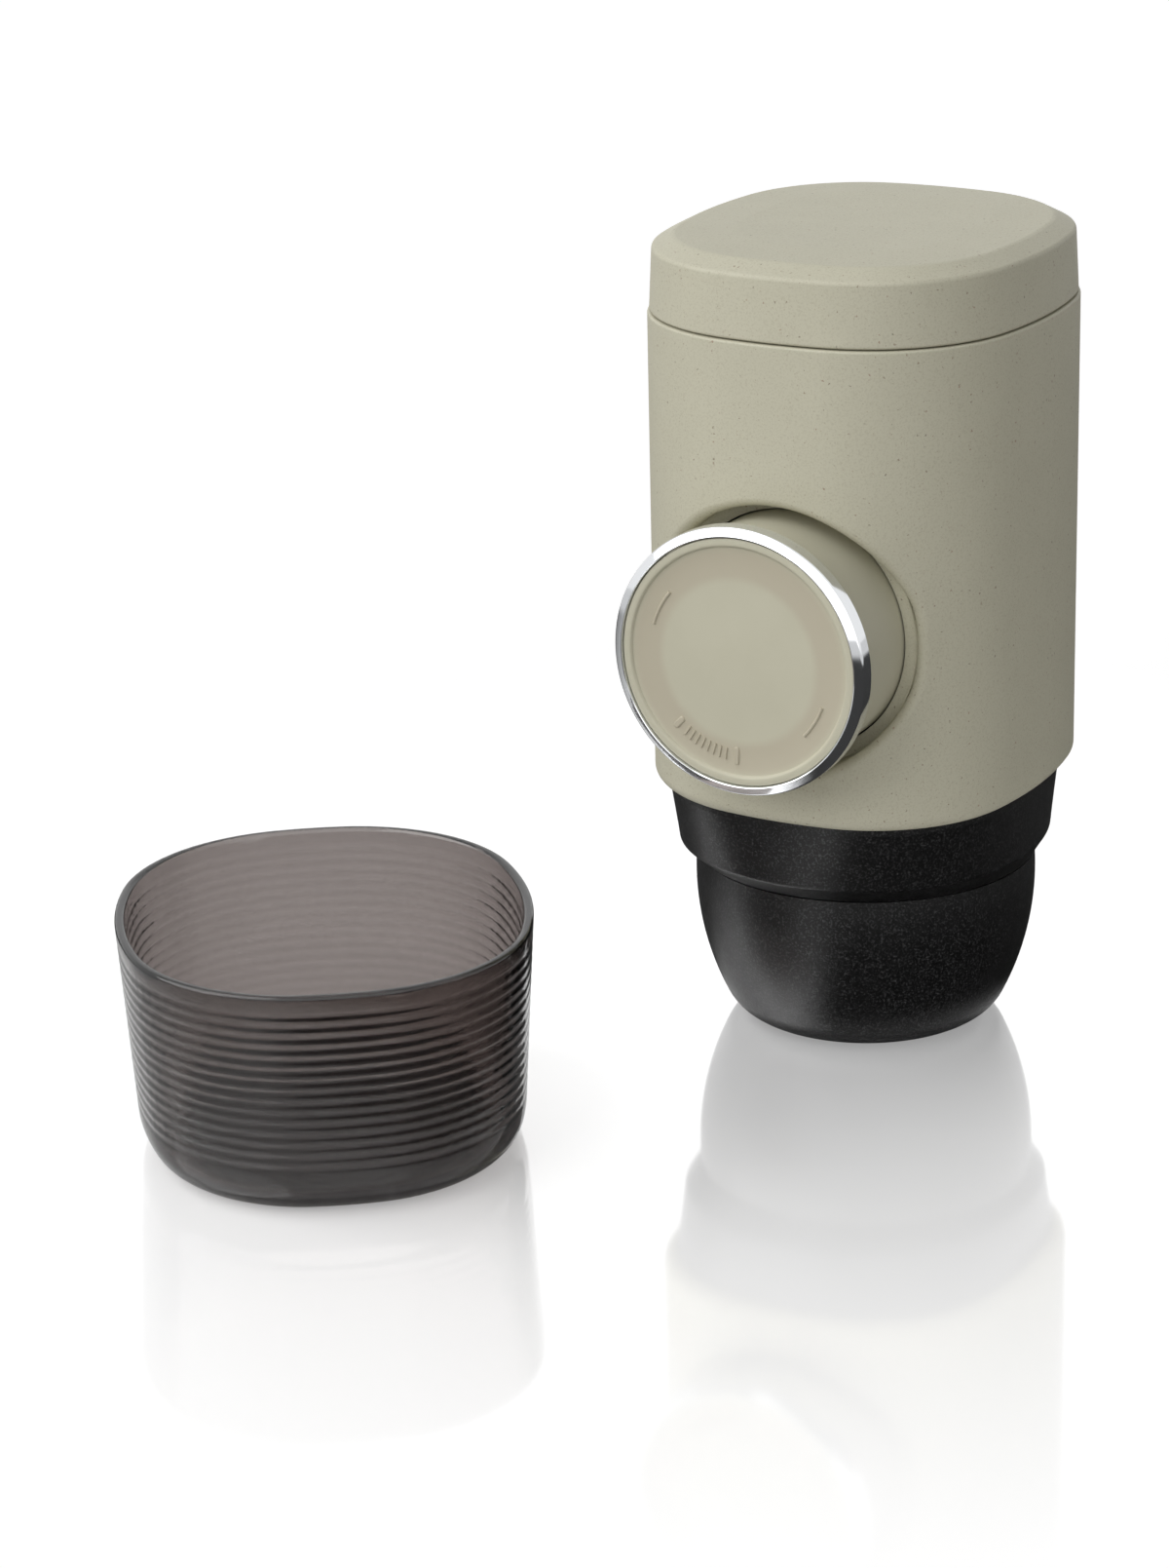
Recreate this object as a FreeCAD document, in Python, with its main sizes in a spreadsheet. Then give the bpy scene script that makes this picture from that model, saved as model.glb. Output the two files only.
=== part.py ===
"""Pocket espresso maker for capsules, pumped by hand, with its own cup standing beside it.

The frame: millimetres, +Z up, the origin in the middle of the outlet head's flat base, and the pump
knob pointing along -Y. The pump lies across the body along Y. Above it is the water tank with its
lid, below it the brew head, the capsule holder and the outlet head that the machine stands on.
"""
import FreeCAD, Part
import math
import os
import types
import Sketcher

Vector = FreeCAD.Vector
Rotation = FreeCAD.Rotation
Placement = FreeCAD.Placement

doc = FreeCAD.newDocument("pocket_espresso_maker")

# ---------------------------------------------------------------- driving dimensions
SIZES = [
    # body casing, seen from above: eight arcs that touch
    ("body_half_width", 30.5, "half the width of the casing, along X"),
    ("body_half_depth", 33.0, "half the depth of the casing, along Y"),
    ("body_side_radius", 72.0, "arc of the left and right faces"),
    ("body_front_radius", 69.0, "arc of the front and back faces"),
    ("body_corner_radius", 24.3, "arc of the four corners"),
    ("shell_bottom", 41.1, "height of the casing's lower edge"),
    ("shell_height", 74.2, "casing from its lower edge to the lid seam"),
    ("shell_wall", 2.2, "thickness of the casing wall"),
    ("seam_round", 0.4, "rounding of casing and lid along their seam"),
    ("shell_foot_round", 2.0, "rounding of the casing's lower edge"),
    ("seam_gap", 0.2, "open line between casing and lid"),
    ("part_clearance", 0.15, "gap between pieces that are pushed into each other"),
    ("overshoot", 1.0, "how far a cutting form reaches past the piece it cuts"),
    ("root_overlap", 0.5, "how far an ear or a lug starts inside the piece that carries it"),
    # lid
    ("lid_step", 0.3, "how far the lid stands back from the casing"),
    ("lid_side_height", 9.7, "upright side of the lid"),
    ("lid_draft", 0.5, "how much the lid's side leans in"),
    ("lid_bevel_width", 3.3, "width of the bevel round the top, seen from above"),
    ("lid_bevel_height", 1.7, "rise of that bevel"),
    ("lid_crown", 0.4, "rise of the top face over its edge"),
    ("lid_crown_width", 9.0, "sloping border of the top face"),
    ("lid_wall", 2.0, "thickness of the lid"),
    ("lid_shoulder_round", 0.8, "rounding between side and bevel"),
    ("lid_edge_round", 1.6, "rounding between bevel and top face"),
    # knob
    ("pump_rise", 3.65, "knob guide above the plate that carries the pump"),
    ("knob_projection", 11.0, "knob face in front of the casing, pump out"),
    ("pump_stroke", 11.0, "travel of the pump knob"),
    ("bezel_overhang", 2.0, "chromed ring outside the knob barrel"),
    ("bezel_width", 1.5, "visible width of the chromed ring"),
    ("bezel_depth", 3.4, "chromed ring from front to back"),
    ("bezel_lip", 1.4, "depth of the ring's seat for the knob face"),
    ("bezel_round", 0.8, "rounding of the ring's outer front edge"),
    ("bezel_inner_round", 0.3, "rounding of its inner front edge"),
    ("face_gap", 0.1, "gap between the knob face and the chromed ring"),
    ("face_setback", 0.3, "knob face behind the front of the chromed ring"),
    ("face_band_width", 1.4, "outer rim of the knob face"),
    ("face_dome_radius", 12.4, "raised middle of the knob face"),
    ("face_relief", 0.5, "depth of the ring between rim and middle"),
    ("face_round", 0.2, "rounding of the face's edges"),
    ("barrel_radius", 18.6, "outside of the knob barrel"),
    ("barrel_wall", 1.8, "wall of the knob barrel"),
    ("barrel_front_wall", 2.2, "front wall of the knob barrel"),
    ("hub_radius", 7.0, "hub in the knob barrel"),
    ("hub_length", 6.0, "hub behind the barrel's front wall"),
    ("lug_rise", 1.2, "how far the two retaining lugs stand out of the barrel"),
    ("lug_length", 2.0, "lugs along the pump axis"),
    ("lug_angle", 30.0, "angle that one lug covers"),
    ("knob_turn", 45.0, "turn of the knob between unlocked and locked"),
    ("track_margin", 2.0, "free angle at both ends of a lug's track"),
    ("sliding_gap", 0.25, "gap round pieces that slide on plastic"),
    # knob opening and guide
    ("opening_gap", 0.3, "gap round the chromed ring in the casing's opening"),
    ("opening_bend", 58.24, "bend of a round face that runs just in front of the guide"),
    ("opening_round", 1.3, "rounding of the opening's edge"),
    ("guide_ledge", 3.2, "front ledge of the guide, which stops the lugs"),
    ("guide_ledge_wall", 1.8, "wall of that ledge"),
    ("guide_wall", 1.7, "wall of the guide round the lugs"),
    ("guide_length", 19.0, "guide from front to back"),
    ("guide_back", 2.0, "back wall of the guide"),
    # pump
    ("bore_radius", 9.0, "bore of the pump cylinder"),
    ("cylinder_wall", 2.2, "wall of the pump cylinder"),
    ("cylinder_length", 20.5, "pump cylinder from front to back"),
    ("flange_radius", 12.6, "both flanges of the cylinder"),
    ("flange_thickness", 1.8, "both flanges of the cylinder"),
    ("ear_offset", 16.5, "screw ears beside the front flange"),
    ("ear_radius", 3.0, "end of a screw ear"),
    ("piston_length", 8.0, "pump piston"),
    ("piston_gap", 0.08, "piston in its bore"),
    ("piston_start", 1.0, "piston behind the front of its cylinder"),
    ("piston_land", 2.4, "piston in front of its seal"),
    ("piston_crown", 2.0, "closed end of the piston"),
    ("seal_gap", 0.03, "piston seal in the bore"),
    ("seal_width", 2.2, "piston seal along the axis"),
    ("seal_depth", 1.6, "piston seal across its section"),
    ("rod_radius", 4.0, "piston rod"),
    ("rod_gap", 0.05, "rod in the knob's hub"),
    ("spigot_radius", 2.5, "thin end of the rod in the piston"),
    ("rod_collar_radius", 6.0, "collar that the hub pushes on"),
    ("rod_collar_length", 1.2, "that collar along the axis"),
    ("clip_radius", 5.8, "outside of the retaining clip"),
    ("clip_thickness", 0.7, "retaining clip"),
    ("clip_pocket", 1.6, "depth of the clip's pocket in the barrel"),
    ("clip_room", 0.6, "gap round the clip in that pocket"),
    ("clip_groove_radius", 3.2, "rod in the groove for the clip"),
    ("clip_mouth", 5.6, "open side of the clip"),
    ("spring_radius", 12.6, "middle of the return spring's wire"),
    ("spring_wire", 0.7, "half the thickness of the spring's wire"),
    ("spring_turns", 5.5, "turns of the return spring"),
    ("spring_gap", 0.1, "gap at both ends of the spring"),
    ("valve_block_radius", 12.5, "valve block behind the cylinder"),
    ("valve_block_length", 10.5, "valve block from front to back"),
    ("block_ear_offset", 14.9, "screw ears beside the block and the rear flange"),
    ("block_ear_radius", 2.6, "end of such an ear"),
    ("block_ear_length", 3.0, "ears of the valve block along the axis"),
    ("port_offset", 5.0, "valve bore behind the block's front face"),
    ("port_radius", 2.2, "valve bore"),
    ("passage_radius", 1.4, "passages between bore, cylinder and brew head"),
    ("ball_radius", 2.05, "valve balls"),
    ("ball_offset", 7.0, "valve balls above and below the pump axis"),
    ("tube_wall", 1.0, "wall of the water tubes"),
    ("tube_end_gap", 0.3, "delivery tube over the floor of its channel"),
    # tank
    ("tank_wall", 1.4, "wall and floor of the water tank"),
    ("tank_gap", 0.8, "tank over the valve block and over the knob's opening"),
    ("tank_deck_height", 2.8, "deck round the filling mouth"),
    ("mouth_radius", 24.0, "filling mouth"),
    ("mouth_skirt", 3.5, "skirt under the mouth"),
    ("nipple_radius", 3.2, "suction nipple in the tank floor"),
    ("nipple_rise", 1.5, "nipple above the tank floor"),
    ("plug_gap", 0.3, "lid plug in the mouth"),
    ("plug_depth", 5.5, "lid plug below the seam"),
    ("gasket_width", 2.0, "lid gasket"),
    ("gasket_height", 1.4, "lid gasket"),
    ("plug_rim", 0.7, "flange of the plug outside the gasket"),
    ("vent_offset", 11.0, "air valve from the middle of the plug"),
    ("vent_radius", 2.0, "air valve"),
    # lower casing
    ("lip_inset", 2.1, "lip ring behind the casing's face"),
    ("lip_height", 1.0, "lip ring"),
    ("lip_gap", 0.1, "open line between casing and lip ring"),
    ("collar_inset", 2.3, "top of the collar behind the casing's face"),
    ("collar_half_width", 28.4, "half the width of the collar's lower rim"),
    ("collar_half_depth", 30.2, "half the depth of the collar's lower rim"),
    ("collar_side_radius", 38.0, "arc of its left and right sides"),
    ("collar_front_radius", 35.0, "arc of its front and back"),
    ("collar_corner_radius", 26.3, "arc of its corners"),
    ("collar_side_height", 9.7, "upright side of the collar"),
    ("collar_plate", 3.1, "plate at the top of the collar"),
    ("collar_step_height", 2.9, "slope from the collar to the outlet head"),
    ("collar_edge_round", 0.7, "rounding between the collar's side and its slope"),
    ("neck_gap", 0.4, "outlet head's neck in the collar"),
    ("neck_step", 1.5, "outlet head's rim outside the bore that its neck fits"),
    ("rim_flattening", 0.04, "how much the arcs round that rim differ from one circle"),
    ("chassis_height", 3.5, "plate that carries the pump"),
    ("cradle_width", 20.0, "cradles under the cylinder, along X"),
    ("cradle_thickness", 2.0, "one cradle, along Y"),
    ("cradle_spacing", 7.5, "from one cradle to the other"),
    ("cradle_gap", 1.0, "first cradle behind the heads of the guide screws"),
    ("cradle_grip", 1.2, "how far the guide's cradle reaches up its round side"),
    ("cradle_wrap", 0.45, "share of the cylinder's radius that a cradle wraps"),
    # brew head
    ("brew_radius", 19.3, "brew head"),
    ("brew_flange_radius", 21.4, "brew head's clamped rim"),
    ("brew_flange", 1.6, "thickness of that rim"),
    ("brew_height", 5.5, "brew head"),
    ("channel_width", 2.8, "water channel in the top of the brew head"),
    ("channel_depth", 1.4, "water channel in the top of the brew head"),
    ("water_gap", 0.7, "space for water over the shower plate"),
    ("groove_radius", 14.4, "inside of the seal's groove"),
    ("groove_width", 4.0, "seal's groove"),
    ("groove_depth", 2.0, "seal's groove"),
    ("shower_radius", 13.6, "shower plate"),
    ("shower_thickness", 0.8, "shower plate"),
    ("shower_hole", 0.7, "radius of a hole in the shower plate"),
    ("seal_rest", 0.2, "capsule seal over the capsule holder"),
    ("pin_radius", 1.0, "root of a piercing pin"),
    ("pin_tip", 0.15, "tip of a piercing pin"),
    ("pin_length", 2.4, "piercing pin"),
    ("pin_circle", 8.5, "circle of the upper pins"),
    # outlet head and capsule holder
    ("bowl_radius", 26.7, "outlet head at its rim"),
    ("bowl_side_radius", 45.0, "arc of the outlet head's side, in section"),
    ("bowl_base_radius", 16.0, "flat base that the machine stands on"),
    ("bowl_base_round", 7.0, "arc between side and base, in section"),
    ("bowl_neck_wall", 2.4, "neck of the outlet head"),
    ("bowl_neck_height", 6.9, "neck above the outlet head's rim"),
    ("bowl_ledge", 1.6, "ledge in the outlet head for the capsule holder"),
    ("bowl_floor", 3.2, "floor of the outlet head"),
    ("spout_radius", 5.0, "outlet nozzle"),
    ("spout_flange", 1.2, "flange of the nozzle on the floor"),
    ("spout_bore", 2.0, "hole of the outlet nozzle"),
    ("spout_lift", 0.6, "nozzle tip above the base"),
    ("spout_bevel", 1.0, "bevel of the nozzle tip"),
    ("spout_rim", 2.0, "flange of the nozzle outside its tube"),
    ("holder_top", 33.0, "top of the capsule holder"),
    ("holder_flange", 2.6, "flange of the capsule holder"),
    ("holder_seal_height", 0.8, "flat seal under that flange"),
    ("capsule_rim_radius", 18.8, "seat for the capsule's rim"),
    ("capsule_rim_depth", 1.0, "seat for the capsule's rim"),
    ("capsule_top_radius", 15.3, "capsule chamber under its rim"),
    ("capsule_base_radius", 12.2, "capsule chamber at its floor"),
    ("capsule_depth", 25.5, "capsule chamber"),
    ("holder_wall", 1.9, "wall and floor of the capsule holder"),
    ("needle_length", 4.0, "needles in the floor of the holder"),
    ("needle_circle", 5.0, "circle of those needles"),
    # fasteners
    ("screw_radius", 1.2, "shank of the small screws"),
    ("screw_head_radius", 2.1, "head of the small screws"),
    ("screw_head_height", 1.4, "head of the small screws"),
    ("screw_floor", 0.5, "material left under a blind screw hole"),
    ("collar_screw_circle", 23.0, "screws that hold collar and chassis together"),
    ("collar_screw_length", 6.8, "their shanks"),
    ("pump_screw_length", 3.5, "shanks of the guide screws"),
    # cup
    ("cup_x", -50.8, "middle of the cup"),
    ("cup_y", -79.6, "middle of the cup"),
    ("cup_angle", 36.5, "turn of the cup about its upright axis"),
    ("cup_half_width", 31.0, "half the width of the cup's rim"),
    ("cup_half_depth", 35.0, "half the depth of the cup's rim"),
    ("cup_side_radius", 60.4, "arc of the rim's left and right"),
    ("cup_front_radius", 59.5, "arc of the rim's front and back"),
    ("cup_corner_radius", 27.2, "arc of the rim's corners"),
    ("cup_height", 35.5, "cup"),
    ("cup_taper", 3.6, "lean of the cup's side, in degrees"),
    ("cup_base_round", 6.3, "rounding between side and base"),
    ("cup_wall", 1.5, "wall of the cup"),
    ("cup_floor", 1.8, "floor of the cup"),
    ("cup_rim_round", 0.6, "rounding of both edges of the cup's rim"),
]

sheet = doc.addObject("Spreadsheet::Sheet", "Sizes")
for row, (alias, number, meaning) in enumerate(SIZES, start=1):
    sheet.set(f"A{row}", meaning)
    sheet.set(f"B{row}", str(number))
    sheet.setAlias(f"B{row}", alias)
doc.recompute()


class Size:
    """A dimension: its number, and the expression that works it out from the sheet."""

    def __init__(self, number, text):
        self.number = float(number)
        self.text = text

    def __add__(self, other):
        other = as_size(other)
        return Size(self.number + other.number, f"({self.text} + {other.text})")

    def __radd__(self, other):
        return as_size(other) + self

    def __sub__(self, other):
        other = as_size(other)
        return Size(self.number - other.number, f"({self.text} - {other.text})")

    def __rsub__(self, other):
        return as_size(other) - self

    def __mul__(self, other):
        other = as_size(other)
        return Size(self.number * other.number, f"({self.text} * {other.text})")

    __rmul__ = __mul__

    def __truediv__(self, other):
        other = as_size(other)
        return Size(self.number / other.number, f"({self.text} / {other.text})")

    def __neg__(self):
        return 0 - self


def as_size(value):
    """A plain number in a formula is a constant of the shape, such as the 2 of a half."""
    return value if isinstance(value, Size) else Size(value, repr(float(value)))


s = types.SimpleNamespace(
    **{alias: Size(sheet.get(alias), f"Sizes.{alias}") for alias, number, meaning in SIZES}
)
ZERO = as_size(0)
NEAR = 0.001  # millimetres, for telling edges apart


def bind(thing, prop, value):
    """Ties a property of a document object to the sheet."""
    thing.setExpression(prop, as_size(value).text)


# ---------------------------------------------------------------- drawing helpers
nodes = []


def keep(thing, name):
    """Names a finished piece, which is then written to a file of its own."""
    thing.Label = name
    nodes.append(thing)
    return thing


def new_body(name):
    return doc.addObject("PartDesign::Body", "body_" + name)


def new_sketch(body, role, height=ZERO, turn_back=ZERO):
    """An empty sketch on one of the body's own planes, moved along the plane's normal.

    XY_Plane looks up, XZ_Plane looks along -Y and YZ_Plane along +X. turn_back turns the sketch
    backwards about its own horizontal axis, in degrees.
    """
    sketch = body.newObject("Sketcher::SketchObject", "sketch")
    plane = next(f for f in body.Origin.OriginFeatures if f.Role == role)
    sketch.AttachmentSupport = [(plane, "")]
    sketch.MapMode = "FlatFace"
    turn = Rotation(Vector(-1, 0, 0), turn_back.number)
    sketch.AttachmentOffset = Placement(Vector(0, 0, height.number), turn)
    bind(sketch, "AttachmentOffset.Base.z", height)
    if turn_back.number:
        bind(sketch, "AttachmentOffset.Rotation.Angle", turn_back)
    return sketch


def fix(sketch, kind, *where, value):
    """Adds one dimension to a sketch, tied to the sheet."""
    value = as_size(value)
    index = sketch.addConstraint(Sketcher.Constraint(kind, *where, value.number))
    sketch.setExpression(f"Constraints[{index}]", value.text)


def draw_outline(sketch, points):
    """A closed outline of straight lines through points, each of which is two sizes."""
    points = [(as_size(x), as_size(y)) for x, y in points]
    places = [Vector(x.number, y.number, 0) for x, y in points]
    first = sketch.GeometryCount
    for start, end in zip(places, places[1:] + places[:1]):
        sketch.addGeometry(Part.LineSegment(start, end))
    for i, (x, y) in enumerate(points):
        line = first + i
        after = first + (i + 1) % len(points)
        sketch.addConstraint(Sketcher.Constraint("Coincident", line, 2, after, 1))
        fix(sketch, "DistanceX", -1, 1, line, 1, value=x)
        fix(sketch, "DistanceY", -1, 1, line, 1, value=y)


def draw_circle(sketch, radius, x=ZERO, y=ZERO):
    radius, x, y = as_size(radius), as_size(x), as_size(y)
    index = sketch.addGeometry(Part.Circle(Vector(x.number, y.number, 0), Vector(0, 0, 1), radius.number))
    fix(sketch, "DistanceX", -1, 1, index, 3, value=x)
    fix(sketch, "DistanceY", -1, 1, index, 3, value=y)
    fix(sketch, "Radius", index, value=radius)


def plan(half_width, half_depth, side_radius, front_radius, corner_radius):
    """The arcs of a rounded oblong, seen from above."""
    return types.SimpleNamespace(
        half_width=half_width,
        half_depth=half_depth,
        side_radius=side_radius,
        front_radius=front_radius,
        corner_radius=corner_radius,
    )


def corner_centre(shape):
    """Where a corner arc has its centre, so that it touches the side arc and the front arc."""
    side_x = shape.half_width.number - shape.side_radius.number
    front_y = shape.half_depth.number - shape.front_radius.number
    reach_side = shape.side_radius.number - shape.corner_radius.number
    reach_front = shape.front_radius.number - shape.corner_radius.number
    apart = math.hypot(side_x, front_y)
    along = (reach_side**2 - reach_front**2 + apart**2) / (2 * apart)
    off = math.sqrt(reach_side**2 - along**2)
    unit_x, unit_y = -side_x / apart, front_y / apart
    return side_x + along * unit_x - off * unit_y, along * unit_y + off * unit_x


def draw_plan(sketch, shape, inset=ZERO):
    """The eight touching arcs of a plan, each moved inwards by inset."""
    inset = as_size(inset)
    side_x = shape.half_width.number - shape.side_radius.number
    front_y = shape.half_depth.number - shape.front_radius.number
    corner_x, corner_y = corner_centre(shape)
    side_turn = math.atan2(corner_y, corner_x - side_x)
    front_turn = math.atan2(corner_y - front_y, corner_x)
    side = shape.side_radius - inset
    front = shape.front_radius - inset
    corner = shape.corner_radius - inset
    half, whole = math.pi, 2 * math.pi
    arcs = [
        (side_x, 0, side, -side_turn, side_turn),
        (corner_x, corner_y, corner, side_turn, front_turn),
        (0, front_y, front, front_turn, half - front_turn),
        (-corner_x, corner_y, corner, half - front_turn, half - side_turn),
        (-side_x, 0, side, half - side_turn, half + side_turn),
        (-corner_x, -corner_y, corner, half + side_turn, half + front_turn),
        (0, -front_y, front, half + front_turn, whole - front_turn),
        (corner_x, -corner_y, corner, whole - front_turn, whole - side_turn),
    ]
    for x, y, radius, start, end in arcs:
        circle = Part.Circle(Vector(x, y, 0), Vector(0, 0, 1), radius.number)
        sketch.addGeometry(Part.ArcOfCircle(circle, start, end))
    centre_x = shape.half_width - shape.side_radius
    centre_y = shape.half_depth - shape.front_radius
    for arc, x, y in ((0, centre_x, ZERO), (2, ZERO, centre_y), (4, -centre_x, ZERO), (6, ZERO, -centre_y)):
        fix(sketch, "DistanceX", -1, 1, arc, 3, value=x)
        fix(sketch, "DistanceY", -1, 1, arc, 3, value=y)
    for arc, (x, y, radius, start, end) in enumerate(arcs):
        fix(sketch, "Radius", arc, value=radius)
        sketch.addConstraint(Sketcher.Constraint("Tangent", arc, 2, (arc + 1) % 8, 1))


def draw_ear(sketch, side, start, offset, radius):
    """A screw ear that leaves a round body sideways and ends in a half circle."""
    x0, x1, r = start.number * side, offset.number * side, radius.number
    low, high = Vector(x0, -r, 0), Vector(x0, r, 0)
    sketch.addGeometry(Part.LineSegment(high, low))
    sketch.addGeometry(Part.LineSegment(low, Vector(x1, -r, 0)))
    circle = Part.Circle(Vector(x1, 0, 0), Vector(0, 0, 1), r)
    turn = math.pi / 2
    half_turn = (-turn, turn) if side > 0 else (turn, 3 * turn)
    sketch.addGeometry(Part.ArcOfCircle(circle, *half_turn))
    sketch.addGeometry(Part.LineSegment(Vector(x1, r, 0), high))
    sketch.addConstraint(Sketcher.Constraint("Coincident", 0, 2, 1, 1))
    sketch.addConstraint(Sketcher.Constraint("Coincident", 3, 2, 0, 1))
    if side > 0:
        sketch.addConstraint(Sketcher.Constraint("Tangent", 1, 2, 2, 1))
        sketch.addConstraint(Sketcher.Constraint("Tangent", 2, 2, 3, 1))
    else:
        sketch.addConstraint(Sketcher.Constraint("Tangent", 1, 2, 2, 2))
        sketch.addConstraint(Sketcher.Constraint("Tangent", 2, 1, 3, 1))
    sketch.addConstraint(Sketcher.Constraint("Vertical", 0))
    sketch.addConstraint(Sketcher.Constraint("Horizontal", 1))
    fix(sketch, "Radius", 2, value=radius)
    fix(sketch, "DistanceX", -1, 1, 2, 3, value=offset * side)
    fix(sketch, "DistanceY", -1, 1, 2, 3, value=ZERO)
    fix(sketch, "DistanceX", -1, 1, 0, 1, value=start * side)


# ---------------------------------------------------------------- features
def feature(body, kind, sketch, **settings):
    """A PartDesign feature of one sketch. Settings that are sizes are tied to the sheet."""
    made = body.newObject("PartDesign::" + kind, kind.lower())
    made.Profile = sketch
    for name, value in settings.items():
        if isinstance(value, Size):
            bind(made, name, value)
        else:
            setattr(made, name, value)
    return made


def pad(body, sketch, length):
    return feature(body, "Pad", sketch, Length=length)


def pocket(body, sketch, length, reversed_way=False):
    return feature(body, "Pocket", sketch, Length=length, Reversed=reversed_way)


def pocket_circles(body, role, height, length, circles, reversed_way=False):
    """Round holes cut from one height on; each circle is radius, x, y."""
    sketch = new_sketch(body, role, height)
    for radius, x, y in circles:
        draw_circle(sketch, radius, x, y)
    return pocket(body, sketch, length, reversed_way)


def loft(body, sections, cut=False):
    """Straight walls between plans at rising heights; a section is plan, inset, height."""
    sketches = []
    for shape, inset, height in sections:
        sketch = new_sketch(body, "XY_Plane", as_size(height))
        draw_plan(sketch, shape, inset)
        sketches.append(sketch)
    kind = "SubtractiveLoft" if cut else "AdditiveLoft"
    return feature(body, kind, sketches[0], Sections=sketches[1:], Ruled=True)


def prism(body, shape, inset, bottom, top):
    sketch = new_sketch(body, "XY_Plane", as_size(bottom))
    draw_plan(sketch, shape, inset)
    return pad(body, sketch, as_size(top) - bottom)


def hollow(body, shape, inset, bottom, top):
    sketch = new_sketch(body, "XY_Plane", as_size(top))
    draw_plan(sketch, shape, inset)
    return pocket(body, sketch, as_size(top) - bottom)


def turn_upright(body, points):
    """A piece turned about the Z axis; a point is radius, height."""
    sketch = new_sketch(body, "XZ_Plane")
    draw_outline(sketch, points)
    return feature(body, "Revolution", sketch, ReferenceAxis=(sketch, ["V_Axis"]), Angle=360.0)


def turn_across(body, points, angle=360.0, turn_back=ZERO, kind="Revolution"):
    """A piece turned about the pump axis, which is the body's own Y axis; a point is y, radius."""
    sketch = new_sketch(body, "YZ_Plane", turn_back=turn_back)
    draw_outline(sketch, points)
    return feature(body, kind, sketch, ReferenceAxis=(sketch, ["H_Axis"]), Angle=angle)


def repeat_round(body, original, axis_role, count):
    """Copies a feature evenly round one of the body's own axes."""
    axis = next(f for f in body.Origin.OriginFeatures if f.Role == axis_role)
    pattern = body.newObject("PartDesign::PolarPattern", "pattern")
    pattern.Originals = [original]
    pattern.Axis = (axis, [""])
    pattern.Angle = 360.0
    pattern.Occurrences = count
    body.Tip = pattern
    return pattern


def new_body_from(thing, name):
    """A body that goes on from a finished piece."""
    body = new_body(name)
    body.BaseFeature = thing
    return body


def round_edges(body, radius, chosen):
    """Rounds those edges of the body as it stands that chosen picks."""
    doc.recompute()
    last = body.Tip
    names = [f"Edge{number}" for number, edge in enumerate(last.Shape.Edges, start=1) if chosen(edge)]
    bend = body.newObject("PartDesign::Fillet", "round")
    bend.Base = (last, names)
    bind(bend, "Radius", radius)
    return bend


def level_edge(height, least_reach=ZERO):
    """Picks the level edges at a height that stay at least so far from the upright axis."""
    def chosen(edge):
        box = edge.BoundBox
        level = max(abs(box.ZMin - height.number), abs(box.ZMax - height.number)) < NEAR
        return level and min(math.hypot(v.X, v.Y) for v in edge.Vertexes) > least_reach.number
    return chosen


def ring_edge(radius, low_y, high_y, axis_height=ZERO):
    """Picks the edges that run round the pump axis at that radius, between two places along Y."""
    def chosen(edge):
        span = edge.LastParameter - edge.FirstParameter
        places = [edge.valueAt(edge.FirstParameter + span * share) for share in (0.0, 0.3, 0.6)]
        return all(abs(math.hypot(v.x, v.z - axis_height.number) - radius.number) < NEAR
                   and low_y.number - NEAR < v.y < high_y.number + NEAR for v in places)
    return chosen


def raise_to_axis(thing):
    """Lifts a piece that is drawn about the Y axis to the height of the pump."""
    bind(thing, "Placement.Base.z", pump_axis)


def rod_between(name, radius, start, end, direction="Z"):
    """A plain cylinder along Z or Y. start is its low end x, y, z; end the size of its length."""
    thing = doc.addObject("Part::Cylinder", name)
    bind(thing, "Radius", radius)
    bind(thing, "Height", end)
    if direction == "Y":
        thing.Placement = Placement(Vector(), Rotation(Vector(1, 0, 0), -90))
    for axis, value in zip("xyz", start):
        bind(thing, f"Placement.Base.{axis}", value)
    return thing


def boolean(kind, name, base, tool):
    thing = doc.addObject("Part::" + kind, name)
    thing.Base = base
    thing.Tool = tool
    return thing


def group(name, things):
    """Several separate solids of one kind, kept as one piece."""
    compound = doc.addObject("Part::Compound", "group_" + name)
    compound.Links = things
    return keep(compound, name)


def screw(name, x, y, z, length, direction):
    """A pan-head screw: the underside of its head at x, y, z, and its shank along the direction."""
    head_start = {"Z": (x, y, z - s.screw_head_height), "Y": (x, y, z)}[direction]
    head = rod_between(name + "_head", s.screw_head_radius, head_start, s.screw_head_height, direction)
    shank_start = {"Z": (x, y, z), "Y": (x, y - length, z)}[direction]
    shank = rod_between(name + "_shank", s.screw_radius, shank_start, length, direction)
    return boolean("Fuse", name, head, shank)


# ---------------------------------------------------------------- shared outlines and places
body_plan = plan(s.body_half_width, s.body_half_depth, s.body_side_radius, s.body_front_radius,
                 s.body_corner_radius)
collar_plan = plan(s.collar_half_width, s.collar_half_depth, s.collar_side_radius,
                   s.collar_front_radius, s.collar_corner_radius)
# almost a circle: its arcs differ by a few percent, so that a wall above can run down to it
rim_side_radius = s.bowl_radius * (1 + s.rim_flattening)
rim_corner_radius = s.bowl_radius * (1 - s.rim_flattening)
rim_plan = plan(s.bowl_radius, s.bowl_radius, rim_side_radius, rim_side_radius, rim_corner_radius)
cup_plan = plan(s.cup_half_width, s.cup_half_depth, s.cup_side_radius, s.cup_front_radius,
                s.cup_corner_radius)

shell_top = s.shell_bottom + s.shell_height
inner_inset = s.shell_wall + s.part_clearance

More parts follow.
